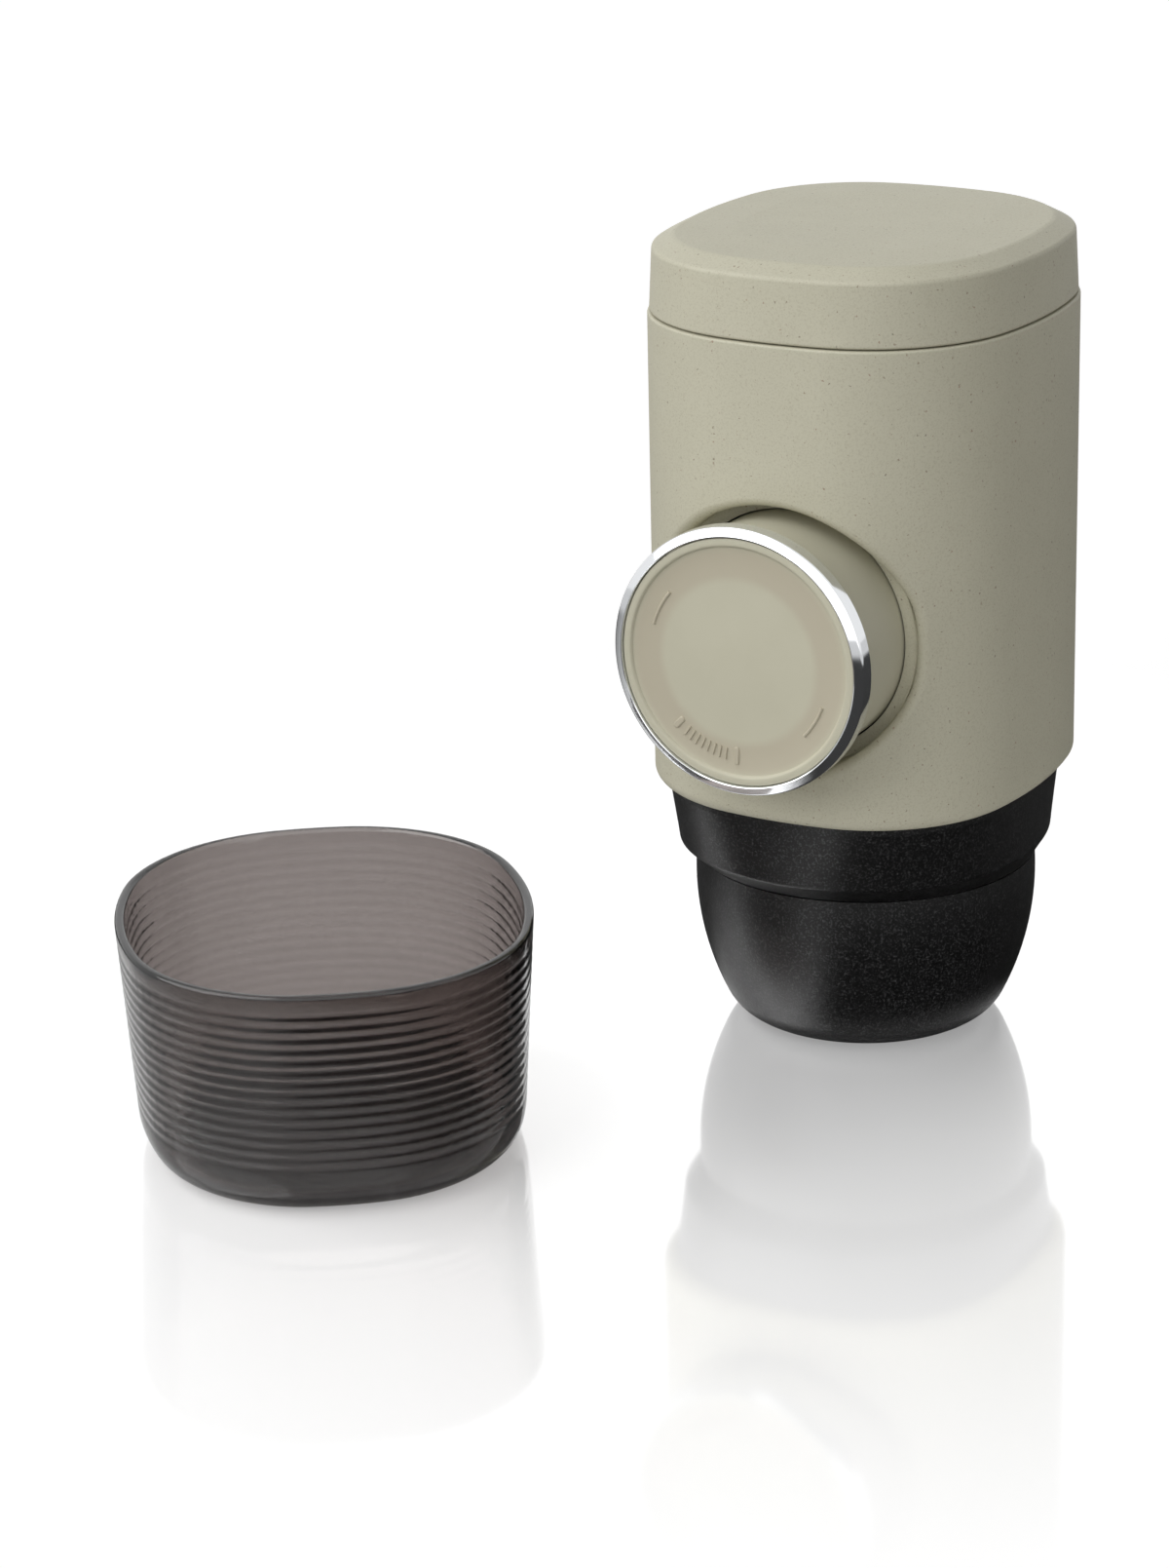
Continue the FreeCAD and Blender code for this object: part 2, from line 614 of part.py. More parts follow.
# along the pump axis, which is the bodies' own Y axis
casing_front = -s.body_half_depth
far_front = -(s.body_half_depth + s.body_half_depth)
bezel_front = casing_front - s.knob_projection
bezel_lip_back = bezel_front + s.bezel_lip
bezel_back = bezel_front + s.bezel_depth
bezel_radius = s.barrel_radius + s.bezel_overhang
bezel_bore = bezel_radius - s.bezel_width
face_front = bezel_front + s.face_setback
barrel_front = bezel_lip_back
barrel_inside = barrel_front + s.barrel_front_wall
opening_radius = bezel_radius + s.opening_gap
guide_front = casing_front + opening_radius * opening_radius / s.opening_bend
ledge_back = guide_front + s.guide_ledge
guide_back = guide_front + s.guide_length
guide_wall_front = guide_back - s.guide_back
guide_bore = s.barrel_radius + s.sliding_gap
guide_ledge_radius = guide_bore + s.guide_ledge_wall
lug_radius = s.barrel_radius + s.lug_rise
track_radius = lug_radius + s.sliding_gap
guide_radius = track_radius + s.guide_wall
lug_front = ledge_back + s.part_clearance
barrel_back = lug_front + s.lug_length
hub_back = barrel_inside + s.hub_length
rod_front = barrel_front + s.face_gap
clip_front = barrel_front + s.clip_pocket - s.clip_thickness
cylinder_front = guide_wall_front
cylinder_back = cylinder_front + s.cylinder_length
cylinder_radius = s.bore_radius + s.cylinder_wall
front_flange_back = guide_back + s.flange_thickness
rear_flange_front = cylinder_back - s.flange_thickness
piston_front = cylinder_front + s.piston_start
piston_back = piston_front + s.piston_length
block_front = cylinder_back
block_back = block_front + s.valve_block_length
port_y = block_front + s.port_offset

# heights over the base
lip_top = s.shell_bottom - s.lip_gap
chassis_top = lip_top + s.chassis_height
guide_bottom = chassis_top + s.pump_rise
pump_axis = guide_bottom + guide_radius
collar_top = lip_top - s.lip_height
collar_plate_bottom = collar_top - s.collar_plate
collar_side_bottom = collar_top - s.collar_side_height
collar_bottom = collar_side_bottom - s.collar_step_height
bowl_rim = collar_bottom - s.seam_gap
neck_top = bowl_rim + s.bowl_neck_height
collar_bore = s.bowl_radius - s.neck_step
neck_radius = collar_bore - s.neck_gap
neck_bore = neck_radius - s.bowl_neck_wall
ledge_top = s.holder_top - s.holder_flange - s.holder_seal_height
ledge_bore = neck_bore - s.bowl_ledge
brew_bottom = collar_top - s.brew_height
chassis_bottom = lip_top
tank_rear_bottom = pump_axis + s.valve_block_radius + s.tank_gap
boss_radius = opening_radius + s.shell_wall
tank_front_bottom = pump_axis + boss_radius + s.tank_gap
tank_step = guide_back + s.overshoot
tank_top = shell_top - s.tank_deck_height
lid_bottom = shell_top + s.seam_gap
lid_shoulder = lid_bottom + s.lid_side_height
lid_edge = lid_shoulder + s.lid_bevel_height
lid_ceiling = lid_edge - s.lid_wall
gasket_top = shell_top + s.gasket_height
plug_radius = s.mouth_radius - s.plug_gap
plug_flange = plug_radius + s.gasket_width + s.plug_rim

screw_offset = s.collar_screw_circle * math.sqrt(0.5)
screw_places = [(screw_offset * x, screw_offset * y) for x in (-1, 1) for y in (-1, 1)]

# ---------------------------------------------------------------- casing
outer = new_body("casing_block")
prism(outer, body_plan, ZERO, s.shell_bottom, shell_top)
round_edges(outer, s.shell_foot_round, level_edge(s.shell_bottom))
round_edges(outer, s.seam_round, level_edge(shell_top))
room = new_body("casing_room")
prism(room, body_plan, s.shell_wall, s.shell_bottom - s.overshoot, shell_top + s.overshoot)
boss = rod_between("knob_boss", boss_radius, (ZERO, far_front, pump_axis), ledge_back - far_front, "Y")
cavity = boolean("Cut", "casing_cavity", room, boss)
walls = boolean("Cut", "casing_walls", outer, cavity)
opening = new_body("knob_opening")
opening_back = guide_back + s.overshoot
turn_across(opening, [
    (far_front, ZERO), (far_front, opening_radius), (guide_front, opening_radius),
    (guide_front, guide_ledge_radius + s.part_clearance),
    (ledge_back, guide_ledge_radius + s.part_clearance),
    (ledge_back, guide_radius + s.part_clearance), (opening_back, guide_radius + s.part_clearance),
    (opening_back, ZERO),
])
raise_to_axis(opening)
shell = new_body_from(boolean("Cut", "casing_cut", walls, opening), "body_shell")
round_edges(shell, s.opening_round,
            ring_edge(opening_radius, casing_front - s.overshoot, guide_front - s.overshoot, pump_axis))
keep(shell, "body_shell")

base_ring = new_body("base_ring")
prism(base_ring, body_plan, s.lip_inset, collar_top, lip_top)
pocket_circles(base_ring, "XY_Plane", lip_top, s.lip_height,
               [(s.port_radius, ZERO, port_y)] + [(s.screw_radius, x, y) for x, y in screw_places])
keep(base_ring, "base_ring")

# the collar: its walls run from the oblong of the casing down to an almost round rim
collar = new_body("collar")
loft(collar, [(body_plan, s.collar_inset, collar_top), (collar_plan, ZERO, collar_side_bottom)])
loft(collar, [(collar_plan, ZERO, collar_side_bottom), (rim_plan, ZERO, collar_bottom)])
pocket_circles(collar, "XY_Plane", collar_plate_bottom, collar_plate_bottom - collar_bottom,
               [(collar_bore, ZERO, ZERO)])
pocket_circles(collar, "XY_Plane", collar_top, s.collar_plate,
               [(s.brew_radius + s.part_clearance, ZERO, ZERO)])
pocket_circles(collar, "XY_Plane", collar_top, s.brew_flange,
               [(s.brew_flange_radius + s.part_clearance, ZERO, ZERO)])
pocket_circles(collar, "XY_Plane", collar_top, s.collar_plate,
               [(s.screw_radius, x, y) for x, y in screw_places])
round_edges(collar, s.collar_edge_round, level_edge(collar_side_bottom))
keep(collar, "collar")


def box(name, x_size, y_size, z_size, y, z):
    """A block in the middle of X, from y and z on."""
    thing = doc.addObject("Part::Box", name)
    bind(thing, "Length", x_size)
    bind(thing, "Width", y_size)
    bind(thing, "Height", z_size)
    bind(thing, "Placement.Base.x", -x_size / 2)
    bind(thing, "Placement.Base.y", y)
    bind(thing, "Placement.Base.z", z)
    return thing


# the plate that carries the pump: two cradles for the cylinder and one for the knob guide
plate = new_body("chassis_plate")
prism(plate, body_plan, inner_inset, chassis_bottom, chassis_top)
pocket_circles(plate, "XY_Plane", chassis_top, s.chassis_height, [(s.port_radius, ZERO, port_y)])
pocket_circles(plate, "XY_Plane", chassis_bottom, s.chassis_height - s.screw_floor,
               [(s.screw_radius, x, y) for x, y in screw_places], True)
cradle_height = pump_axis - cylinder_radius * s.cradle_wrap - chassis_top
cradle_y = front_flange_back + s.screw_head_height + s.cradle_gap
cradles = [
    box("cradle_front", s.cradle_width, s.cradle_thickness, cradle_height, cradle_y, chassis_top),
    box("cradle_back", s.cradle_width, s.cradle_thickness, cradle_height,
        cradle_y + s.cradle_spacing, chassis_top),
    box("guide_cradle", s.cradle_width, s.cradle_thickness * 3, s.pump_rise + s.cradle_grip,
        guide_back - s.cradle_thickness * 4, chassis_top),
]
carrier = doc.addObject("Part::MultiFuse", "chassis_blank")
carrier.Shapes = [plate, *cradles]
cylinder_space = rod_between("cylinder_space", cylinder_radius + s.seal_gap,
                             (ZERO, cradle_y - s.overshoot, pump_axis), s.cradle_spacing * 2, "Y")
guide_space = rod_between("guide_space", guide_radius + s.seal_gap,
                          (ZERO, guide_front, pump_axis), s.guide_length, "Y")
cradled = boolean("Cut", "chassis_cradled", carrier, cylinder_space)
keep(boolean("Cut", "chassis", cradled, guide_space), "chassis")

# ---------------------------------------------------------------- brew head
brew = new_body("brew_head")
turn_upright(brew, [
    (ZERO, brew_bottom), (s.brew_radius, brew_bottom), (s.brew_radius, collar_top - s.brew_flange),
    (s.brew_flange_radius, collar_top - s.brew_flange), (s.brew_flange_radius, collar_top),
    (ZERO, collar_top),
])
groove = new_sketch(brew, "XY_Plane", brew_bottom)
draw_circle(groove, s.groove_radius)
draw_circle(groove, s.groove_radius + s.groove_width)
pocket(brew, groove, s.groove_depth, True)
pocket_circles(brew, "XY_Plane", brew_bottom, s.shower_thickness + s.water_gap,
               [(s.shower_radius + s.part_clearance, ZERO, ZERO)], True)
channel = new_sketch(brew, "XY_Plane", collar_top)
draw_outline(channel, [
    (-s.channel_width / 2, ZERO), (s.channel_width / 2, ZERO),
    (s.channel_width / 2, port_y), (-s.channel_width / 2, port_y),
])
pocket(brew, channel, s.channel_depth)
pocket_circles(brew, "XY_Plane", collar_top, s.channel_depth, [(s.port_radius, ZERO, port_y)])
pocket_circles(brew, "XY_Plane", collar_top, s.brew_height, [(s.passage_radius, ZERO, ZERO)])
keep(brew, "brew_head")

shower = new_body("shower_plate")
turn_upright(shower, [
    (ZERO, brew_bottom), (s.shower_radius, brew_bottom),
    (s.shower_radius, brew_bottom + s.shower_thickness), (ZERO, brew_bottom + s.shower_thickness),
])
keep(shower, "shower_plate")

pins = []
for index in range(6):
    pin = doc.addObject("Part::Cone", f"pin_{index}")
    bind(pin, "Radius1", s.pin_tip)
    bind(pin, "Radius2", s.pin_radius)
    bind(pin, "Height", s.pin_length)
    angle = math.radians(60 * index)
    bind(pin, "Placement.Base.x", s.pin_circle * math.cos(angle))
    bind(pin, "Placement.Base.y", s.pin_circle * math.sin(angle))
    bind(pin, "Placement.Base.z", brew_bottom - s.pin_length)
    pins.append(pin)
group("piercing_pins", pins)

seal_bottom = s.holder_top + s.seal_rest
groove_outside = s.groove_radius + s.groove_width
groove_top = brew_bottom + s.groove_depth
capsule_seal = new_body("capsule_seal")
turn_upright(capsule_seal, [
    (s.groove_radius, seal_bottom), (groove_outside, seal_bottom), (groove_outside, groove_top),
    (s.groove_radius, groove_top),
])
keep(capsule_seal, "capsule_seal")

# ---------------------------------------------------------------- pump
cylinder = new_body("pump_cylinder")
turn_across(cylinder, [
    (cylinder_front, s.bore_radius), (cylinder_front, cylinder_radius),
    (guide_back, cylinder_radius), (guide_back, s.flange_radius),
    (front_flange_back, s.flange_radius), (front_flange_back, cylinder_radius),
    (rear_flange_front, cylinder_radius), (rear_flange_front, s.flange_radius),
    (cylinder_back, s.flange_radius), (cylinder_back, s.bore_radius),
])

for y, offset, radius in ((front_flange_back, s.ear_offset, s.ear_radius),
                          (cylinder_back, s.block_ear_offset, s.block_ear_radius)):
    for side in (-1, 1):
        ear = new_sketch(cylinder, "XZ_Plane", -y)
        draw_ear(ear, side, cylinder_radius - s.root_overlap, offset, radius)
        pad(cylinder, ear, s.flange_thickness)
    pocket_circles(cylinder, "XZ_Plane", -y, s.flange_thickness,
                   [(s.screw_radius, offset * side, ZERO) for side in (-1, 1)], True)
keep(cylinder, "pump_cylinder")
raise_to_axis(cylinder)

gasket = new_body("cylinder_gasket")
turn_across(gasket, [
    (block_front, s.bore_radius + s.seal_width / 2),
    (block_front, s.bore_radius + s.seal_width),
    (block_front + s.seal_depth / 2, s.bore_radius + s.seal_width),
    (block_front + s.seal_depth / 2, s.bore_radius + s.seal_width / 2),
])
keep(gasket, "cylinder_gasket")
raise_to_axis(gasket)

block = new_body("valve_block")
turn_across(block, [
    (block_front, ZERO), (block_front, s.valve_block_radius), (block_back, s.valve_block_radius),
    (block_back, ZERO),
])
for side in (-1, 1):
    ear = new_sketch(block, "XZ_Plane", -(block_front + s.block_ear_length))
    draw_ear(ear, side, s.valve_block_radius - s.root_overlap * 2, s.block_ear_offset,
             s.block_ear_radius)
    pad(block, ear, s.block_ear_length)
turn_across(block, [
    (block_front, s.bore_radius + s.seal_width / 2),
    (block_front, s.bore_radius + s.seal_width),
    (block_front + s.seal_depth / 2, s.bore_radius + s.seal_width),
    (block_front + s.seal_depth / 2, s.bore_radius + s.seal_width / 2),
], kind="Groove")
valve_bore_end = s.port_radius + s.tube_wall
valve_bore_length = s.valve_block_radius - valve_bore_end
pocket_circles(block, "XY_Plane", s.valve_block_radius, valve_bore_length,
               [(s.port_radius, ZERO, port_y)])
pocket_circles(block, "XY_Plane", -s.valve_block_radius, valve_bore_length,
               [(s.port_radius, ZERO, port_y)], True)
passage_height = valve_bore_end + s.passage_radius
pocket_circles(block, "XZ_Plane", -block_front, s.port_offset,
               [(s.passage_radius, ZERO, passage_height), (s.passage_radius, ZERO, -passage_height)])
pocket_circles(block, "XZ_Plane", -block_front, s.block_ear_length,
               [(s.screw_radius, s.block_ear_offset * side, ZERO) for side in (-1, 1)])
keep(block, "valve_block")
raise_to_axis(block)

for name, side in (("inlet_valve", 1), ("outlet_valve", -1)):
    ball = doc.addObject("Part::Sphere", name)
    bind(ball, "Radius", s.ball_radius)
    bind(ball, "Placement.Base.y", port_y)
    bind(ball, "Placement.Base.z", pump_axis + s.ball_offset * side)
    keep(ball, name)


def tube(name, bottom, top, collar_bottom, collar_top):
    """A water tube beside the ports: a thin pipe with a collar that seals it."""
    body = new_body(name)
    outside = s.port_radius - s.piston_gap
    turn_upright(body, [
        (outside - s.tube_wall, bottom), (outside, bottom), (outside, collar_bottom),
        (s.nipple_radius, collar_bottom), (s.nipple_radius, collar_top), (outside, collar_top),
        (outside, top), (outside - s.tube_wall, top),
    ])
    bind(body, "Placement.Base.y", port_y)
    return keep(body, name)


block_top = pump_axis + s.valve_block_radius
block_bottom = pump_axis - s.valve_block_radius
ball_reach = s.ball_offset + s.ball_radius
tube("suction_tube", pump_axis + ball_reach, tank_rear_bottom + s.tank_wall + s.nipple_rise,
     block_top, tank_rear_bottom)
tube("delivery_tube", collar_top - s.channel_depth + s.tube_end_gap, pump_axis - ball_reach,
     block_bottom - s.nipple_rise, block_bottom)

# ---------------------------------------------------------------- knob guide, with its lug tracks
guide = new_body("knob_guide")
turn_across(guide, [
    (guide_front, guide_bore), (guide_front, guide_ledge_radius), (ledge_back, guide_ledge_radius),
    (ledge_back, guide_radius), (guide_back, guide_radius),
    (guide_back, cylinder_radius + s.piston_gap), (guide_wall_front, cylinder_radius + s.piston_gap),
    (guide_wall_front, guide_bore),
])
push_angle = s.lug_angle + s.track_margin * 2
turn_angle = push_angle + s.knob_turn
pressed_lug_front = lug_front + s.pump_stroke - s.sliding_gap
free_lug_back = barrel_back + s.sliding_gap
track_root = guide_bore - s.root_overlap
for start, end, angle in (
    (ledge_back, guide_wall_front, push_angle),
    (ledge_back, free_lug_back, turn_angle),
    (pressed_lug_front, guide_wall_front, turn_angle),
):
    track = turn_across(guide, [
        (start, track_root), (start, track_radius), (end, track_radius), (end, track_root),
    ], angle=angle, turn_back=push_angle / 2, kind="Groove")
    repeat_round(guide, track, "Y_Axis", 2)
pocket_circles(guide, "XZ_Plane", -guide_back, s.pump_screw_length - s.flange_thickness,
               [(s.screw_radius, s.ear_offset * side, ZERO) for side in (-1, 1)], True)
keep(guide, "knob_guide")
raise_to_axis(guide)

# ---------------------------------------------------------------- piston
spigot_back = piston_back - s.piston_crown
rod = new_body("piston_rod")
turn_across(rod, [
    (rod_front, ZERO), (rod_front, s.rod_radius), (clip_front, s.rod_radius),
    (clip_front, s.clip_groove_radius), (clip_front + s.clip_thickness, s.clip_groove_radius),
    (clip_front + s.clip_thickness, s.rod_radius), (hub_back, s.rod_radius),
    (hub_back, s.rod_collar_radius), (hub_back + s.rod_collar_length, s.rod_collar_radius),
    (hub_back + s.rod_collar_length, s.rod_radius), (piston_front, s.rod_radius),
    (piston_front, s.spigot_radius), (spigot_back, s.spigot_radius), (spigot_back, ZERO),
])
keep(rod, "piston_rod")
raise_to_axis(rod)

piston_radius = s.bore_radius - s.piston_gap
seal_front = piston_front + s.piston_land
seal_back = seal_front + s.seal_width
seal_inside = piston_radius - s.seal_depth
piston = new_body("piston_head")
turn_across(piston, [
    (piston_front, s.spigot_radius), (piston_front, piston_radius), (seal_front, piston_radius),
    (seal_front, seal_inside), (seal_back, seal_inside), (seal_back, piston_radius),
    (piston_back, piston_radius), (piston_back, ZERO), (spigot_back, ZERO),
    (spigot_back, s.spigot_radius),
])
keep(piston, "piston_head")
raise_to_axis(piston)

seal = new_body("piston_seal")
turn_across(seal, [
    (seal_front, seal_inside), (seal_front, s.bore_radius - s.seal_gap),
    (seal_back, s.bore_radius - s.seal_gap), (seal_back, seal_inside),
])
keep(seal, "piston_seal")
raise_to_axis(seal)

clip = new_body("rod_clip")
clip_sketch = new_sketch(clip, "XZ_Plane", -(clip_front + s.clip_thickness))
draw_circle(clip_sketch, s.clip_radius)
draw_circle(clip_sketch, s.clip_groove_radius)
pad(clip, clip_sketch, s.clip_thickness)
clip_mouth = new_sketch(clip, "XZ_Plane", -(clip_front + s.clip_thickness))
draw_outline(clip_mouth, [
    (-s.clip_mouth / 2, ZERO), (s.clip_mouth / 2, ZERO),
    (s.clip_mouth / 2, -s.clip_radius - s.overshoot), (-s.clip_mouth / 2, -s.clip_radius - s.overshoot),
])
pocket(clip, clip_mouth, s.clip_thickness, True)
keep(clip, "rod_clip")
raise_to_axis(clip)

# ---------------------------------------------------------------- knob
clip_pocket_radius = s.clip_radius + s.clip_room
lug_root = s.barrel_radius - s.root_overlap
barrel = new_body("knob_barrel")
turn_across(barrel, [
    (barrel_front, clip_pocket_radius), (barrel_front, s.barrel_radius),
    (barrel_back, s.barrel_radius), (barrel_back, s.barrel_radius - s.barrel_wall),
    (barrel_inside, s.barrel_radius - s.barrel_wall), (barrel_inside, s.hub_radius),
    (hub_back, s.hub_radius), (hub_back, s.rod_radius + s.rod_gap),
    (barrel_front + s.clip_pocket, s.rod_radius + s.rod_gap),
    (barrel_front + s.clip_pocket, clip_pocket_radius),
])
lug = turn_across(barrel, [
    (lug_front, lug_root), (lug_front, lug_radius), (barrel_back, lug_radius),
    (barrel_back, lug_root),
], angle=s.lug_angle, turn_back=s.lug_angle / 2)
repeat_round(barrel, lug, "Y_Axis", 2)
keep(barrel, "knob_barrel")
raise_to_axis(barrel)

bezel = new_body("knob_bezel")
turn_across(bezel, [
    (bezel_front, bezel_bore), (bezel_front, bezel_radius), (bezel_back, bezel_radius),
    (bezel_back, s.barrel_radius), (bezel_lip_back, s.barrel_radius), (bezel_lip_back, bezel_bore),
])
round_edges(bezel, s.bezel_round, ring_edge(bezel_radius, bezel_front, bezel_front))
round_edges(bezel, s.bezel_inner_round, ring_edge(bezel_bore, bezel_front, bezel_front))
keep(bezel, "knob_bezel")
raise_to_axis(bezel)

face_radius = bezel_bore - s.face_gap
face_groove_radius = face_radius - s.face_band_width
face_floor = face_front + s.face_relief
dome_front = face_front + s.face_relief / 2
face = new_body("knob_face")
turn_across(face, [
    (barrel_front, ZERO), (barrel_front, face_radius), (face_front, face_radius),
    (face_front, face_groove_radius), (face_floor, face_groove_radius),
    (face_floor, s.face_dome_radius), (dome_front, s.face_dome_radius), (dome_front, ZERO),
])
for radius, y in ((face_radius, face_front), (face_groove_radius, face_front),
                  (s.face_dome_radius, dome_front)):
    round_edges(face, s.face_round, ring_edge(radius, y, y))
keep(face, "knob_face")
raise_to_axis(face)

washer = new_body("spring_washer")
washer_back = barrel_inside + s.clip_thickness
turn_across(washer, [
    (barrel_inside, s.spring_radius - s.spring_wire * 2),
    (barrel_inside, s.spring_radius + s.spring_wire * 2),
    (washer_back, s.spring_radius + s.spring_wire * 2),
    (washer_back, s.spring_radius - s.spring_wire * 2),
])
keep(washer, "spring_washer")
raise_to_axis(washer)

helix = doc.addObject("Part::Helix", "spring_path")
bind(helix, "Radius", s.spring_radius)
spring_rise = guide_wall_front - washer_back - s.spring_wire * 2 - s.spring_gap * 2
bind(helix, "Height", spring_rise)
bind(helix, "Pitch", spring_rise / s.spring_turns)
section = doc.addObject("Part::RegularPolygon", "spring_section")
section.Polygon = 5
bind(section, "Circumradius", s.spring_wire)
bind(section, "Placement.Base.x", s.spring_radius)
section.Placement = Placement(section.Placement.Base, Rotation(Vector(1, 0, 0), 90))
coil = doc.addObject("Part::Sweep", "return_spring")
coil.Sections = [section]
coil.Spine = (helix, ["Edge1"])
coil.Solid = True
coil.Frenet = True
coil.Placement = Placement(Vector(), Rotation(Vector(1, 0, 0), -90))
bind(coil, "Placement.Base.y", washer_back + s.spring_wire + s.spring_gap)
keep(coil, "return_spring")
raise_to_axis(coil)

# ---------------------------------------------------------------- tank
def step_of_tank(name, inset, bottom, top, step_y, step_top):
    """A block with the plan of the casing, cut away under step_top in front of step_y."""
    body = new_body(name)
    prism(body, body_plan, inset, bottom, top)
    cut = new_sketch(body, "YZ_Plane", -s.body_half_width)
    draw_outline(cut, [
        (-s.body_half_depth, bottom), (step_y, bottom), (step_y, step_top),
        (-s.body_half_depth, step_top),
    ])
    pocket(body, cut, s.body_half_width * 2, True)
    return body


liner_block = step_of_tank("liner_block", inner_inset, tank_rear_bottom, tank_top, tank_step,
                           tank_front_bottom)
liner_room = step_of_tank("liner_room", inner_inset + s.tank_wall, tank_rear_bottom + s.tank_wall,
                          tank_top + s.overshoot, tank_step + s.tank_wall,
                          tank_front_bottom + s.tank_wall)
liner_open = boolean("Cut", "liner_open", liner_block, liner_room)
liner_hole = rod_between("liner_hole", s.port_radius - s.piston_gap,
                         (ZERO, port_y, tank_rear_bottom - s.overshoot),
                         s.tank_wall + s.overshoot * 2)
keep(boolean("Cut", "tank_liner", liner_open, liner_hole), "tank_liner")

neck = new_body("tank_neck")
prism(neck, body_plan, inner_inset, tank_top, shell_top)
skirt = new_sketch(neck, "XY_Plane", tank_top - s.mouth_skirt)
draw_circle(skirt, s.mouth_radius + s.tank_wall)
pad(neck, skirt, s.mouth_skirt)
pocket_circles(neck, "XY_Plane", shell_top, s.tank_deck_height + s.mouth_skirt,
               [(s.mouth_radius, ZERO, ZERO)])
keep(neck, "tank_neck")

# ---------------------------------------------------------------- lid
lid_gasket = new_body("lid_gasket")
turn_upright(lid_gasket, [
    (s.mouth_radius, shell_top), (s.mouth_radius + s.gasket_width, shell_top),
    (s.mouth_radius + s.gasket_width, gasket_top), (s.mouth_radius, gasket_top),
])
keep(lid_gasket, "lid_gasket")

lid = new_body("tank_lid")
crown_inset = s.lid_step + s.lid_draft + s.lid_bevel_width
loft(lid, [(body_plan, s.lid_step, lid_bottom), (body_plan, s.lid_step + s.lid_draft, lid_shoulder)])
loft(lid, [(body_plan, s.lid_step + s.lid_draft, lid_shoulder), (body_plan, crown_inset, lid_edge)])
loft(lid, [(body_plan, crown_inset, lid_edge),
           (body_plan, crown_inset + s.lid_crown_width, lid_edge + s.lid_crown)])
hollow(lid, body_plan, s.lid_step + s.lid_draft + s.lid_wall, lid_bottom, lid_ceiling)
round_edges(lid, s.lid_edge_round, level_edge(lid_edge))
round_edges(lid, s.lid_shoulder_round, level_edge(lid_shoulder))
round_edges(lid, s.seam_round, level_edge(lid_bottom, s.body_half_width - s.lid_step - NEAR * 10))
keep(lid, "tank_lid")

plug_bottom = shell_top - s.plug_depth
plug = new_body("lid_plug")
plug_wall = s.lid_wall
turn_upright(plug, [
    (ZERO, plug_bottom), (plug_radius, plug_bottom), (plug_radius, gasket_top),
    (plug_flange, gasket_top), (plug_flange, lid_ceiling), (plug_flange - plug_wall, lid_ceiling),
    (plug_flange - plug_wall, gasket_top + plug_wall), (plug_radius - plug_wall, gasket_top + plug_wall),
    (plug_radius - plug_wall, plug_bottom + plug_wall), (ZERO, plug_bottom + plug_wall),
])
pocket_circles(plug, "XY_Plane", plug_bottom + plug_wall, plug_wall,
               [(s.vent_radius / 2, s.vent_offset, ZERO)])
keep(plug, "lid_plug")

vent = new_body("vent_valve")
turn_upright(vent, [
    (ZERO, plug_bottom), (s.vent_radius / 2 - s.seal_gap, plug_bottom),
    (s.vent_radius / 2 - s.seal_gap, plug_bottom + plug_wall),
    (s.vent_radius, plug_bottom + plug_wall), (ZERO, plug_bottom + plug_wall + s.vent_radius / 2),
])
bind(vent, "Placement.Base.x", s.vent_offset)
keep(vent, "vent_valve")

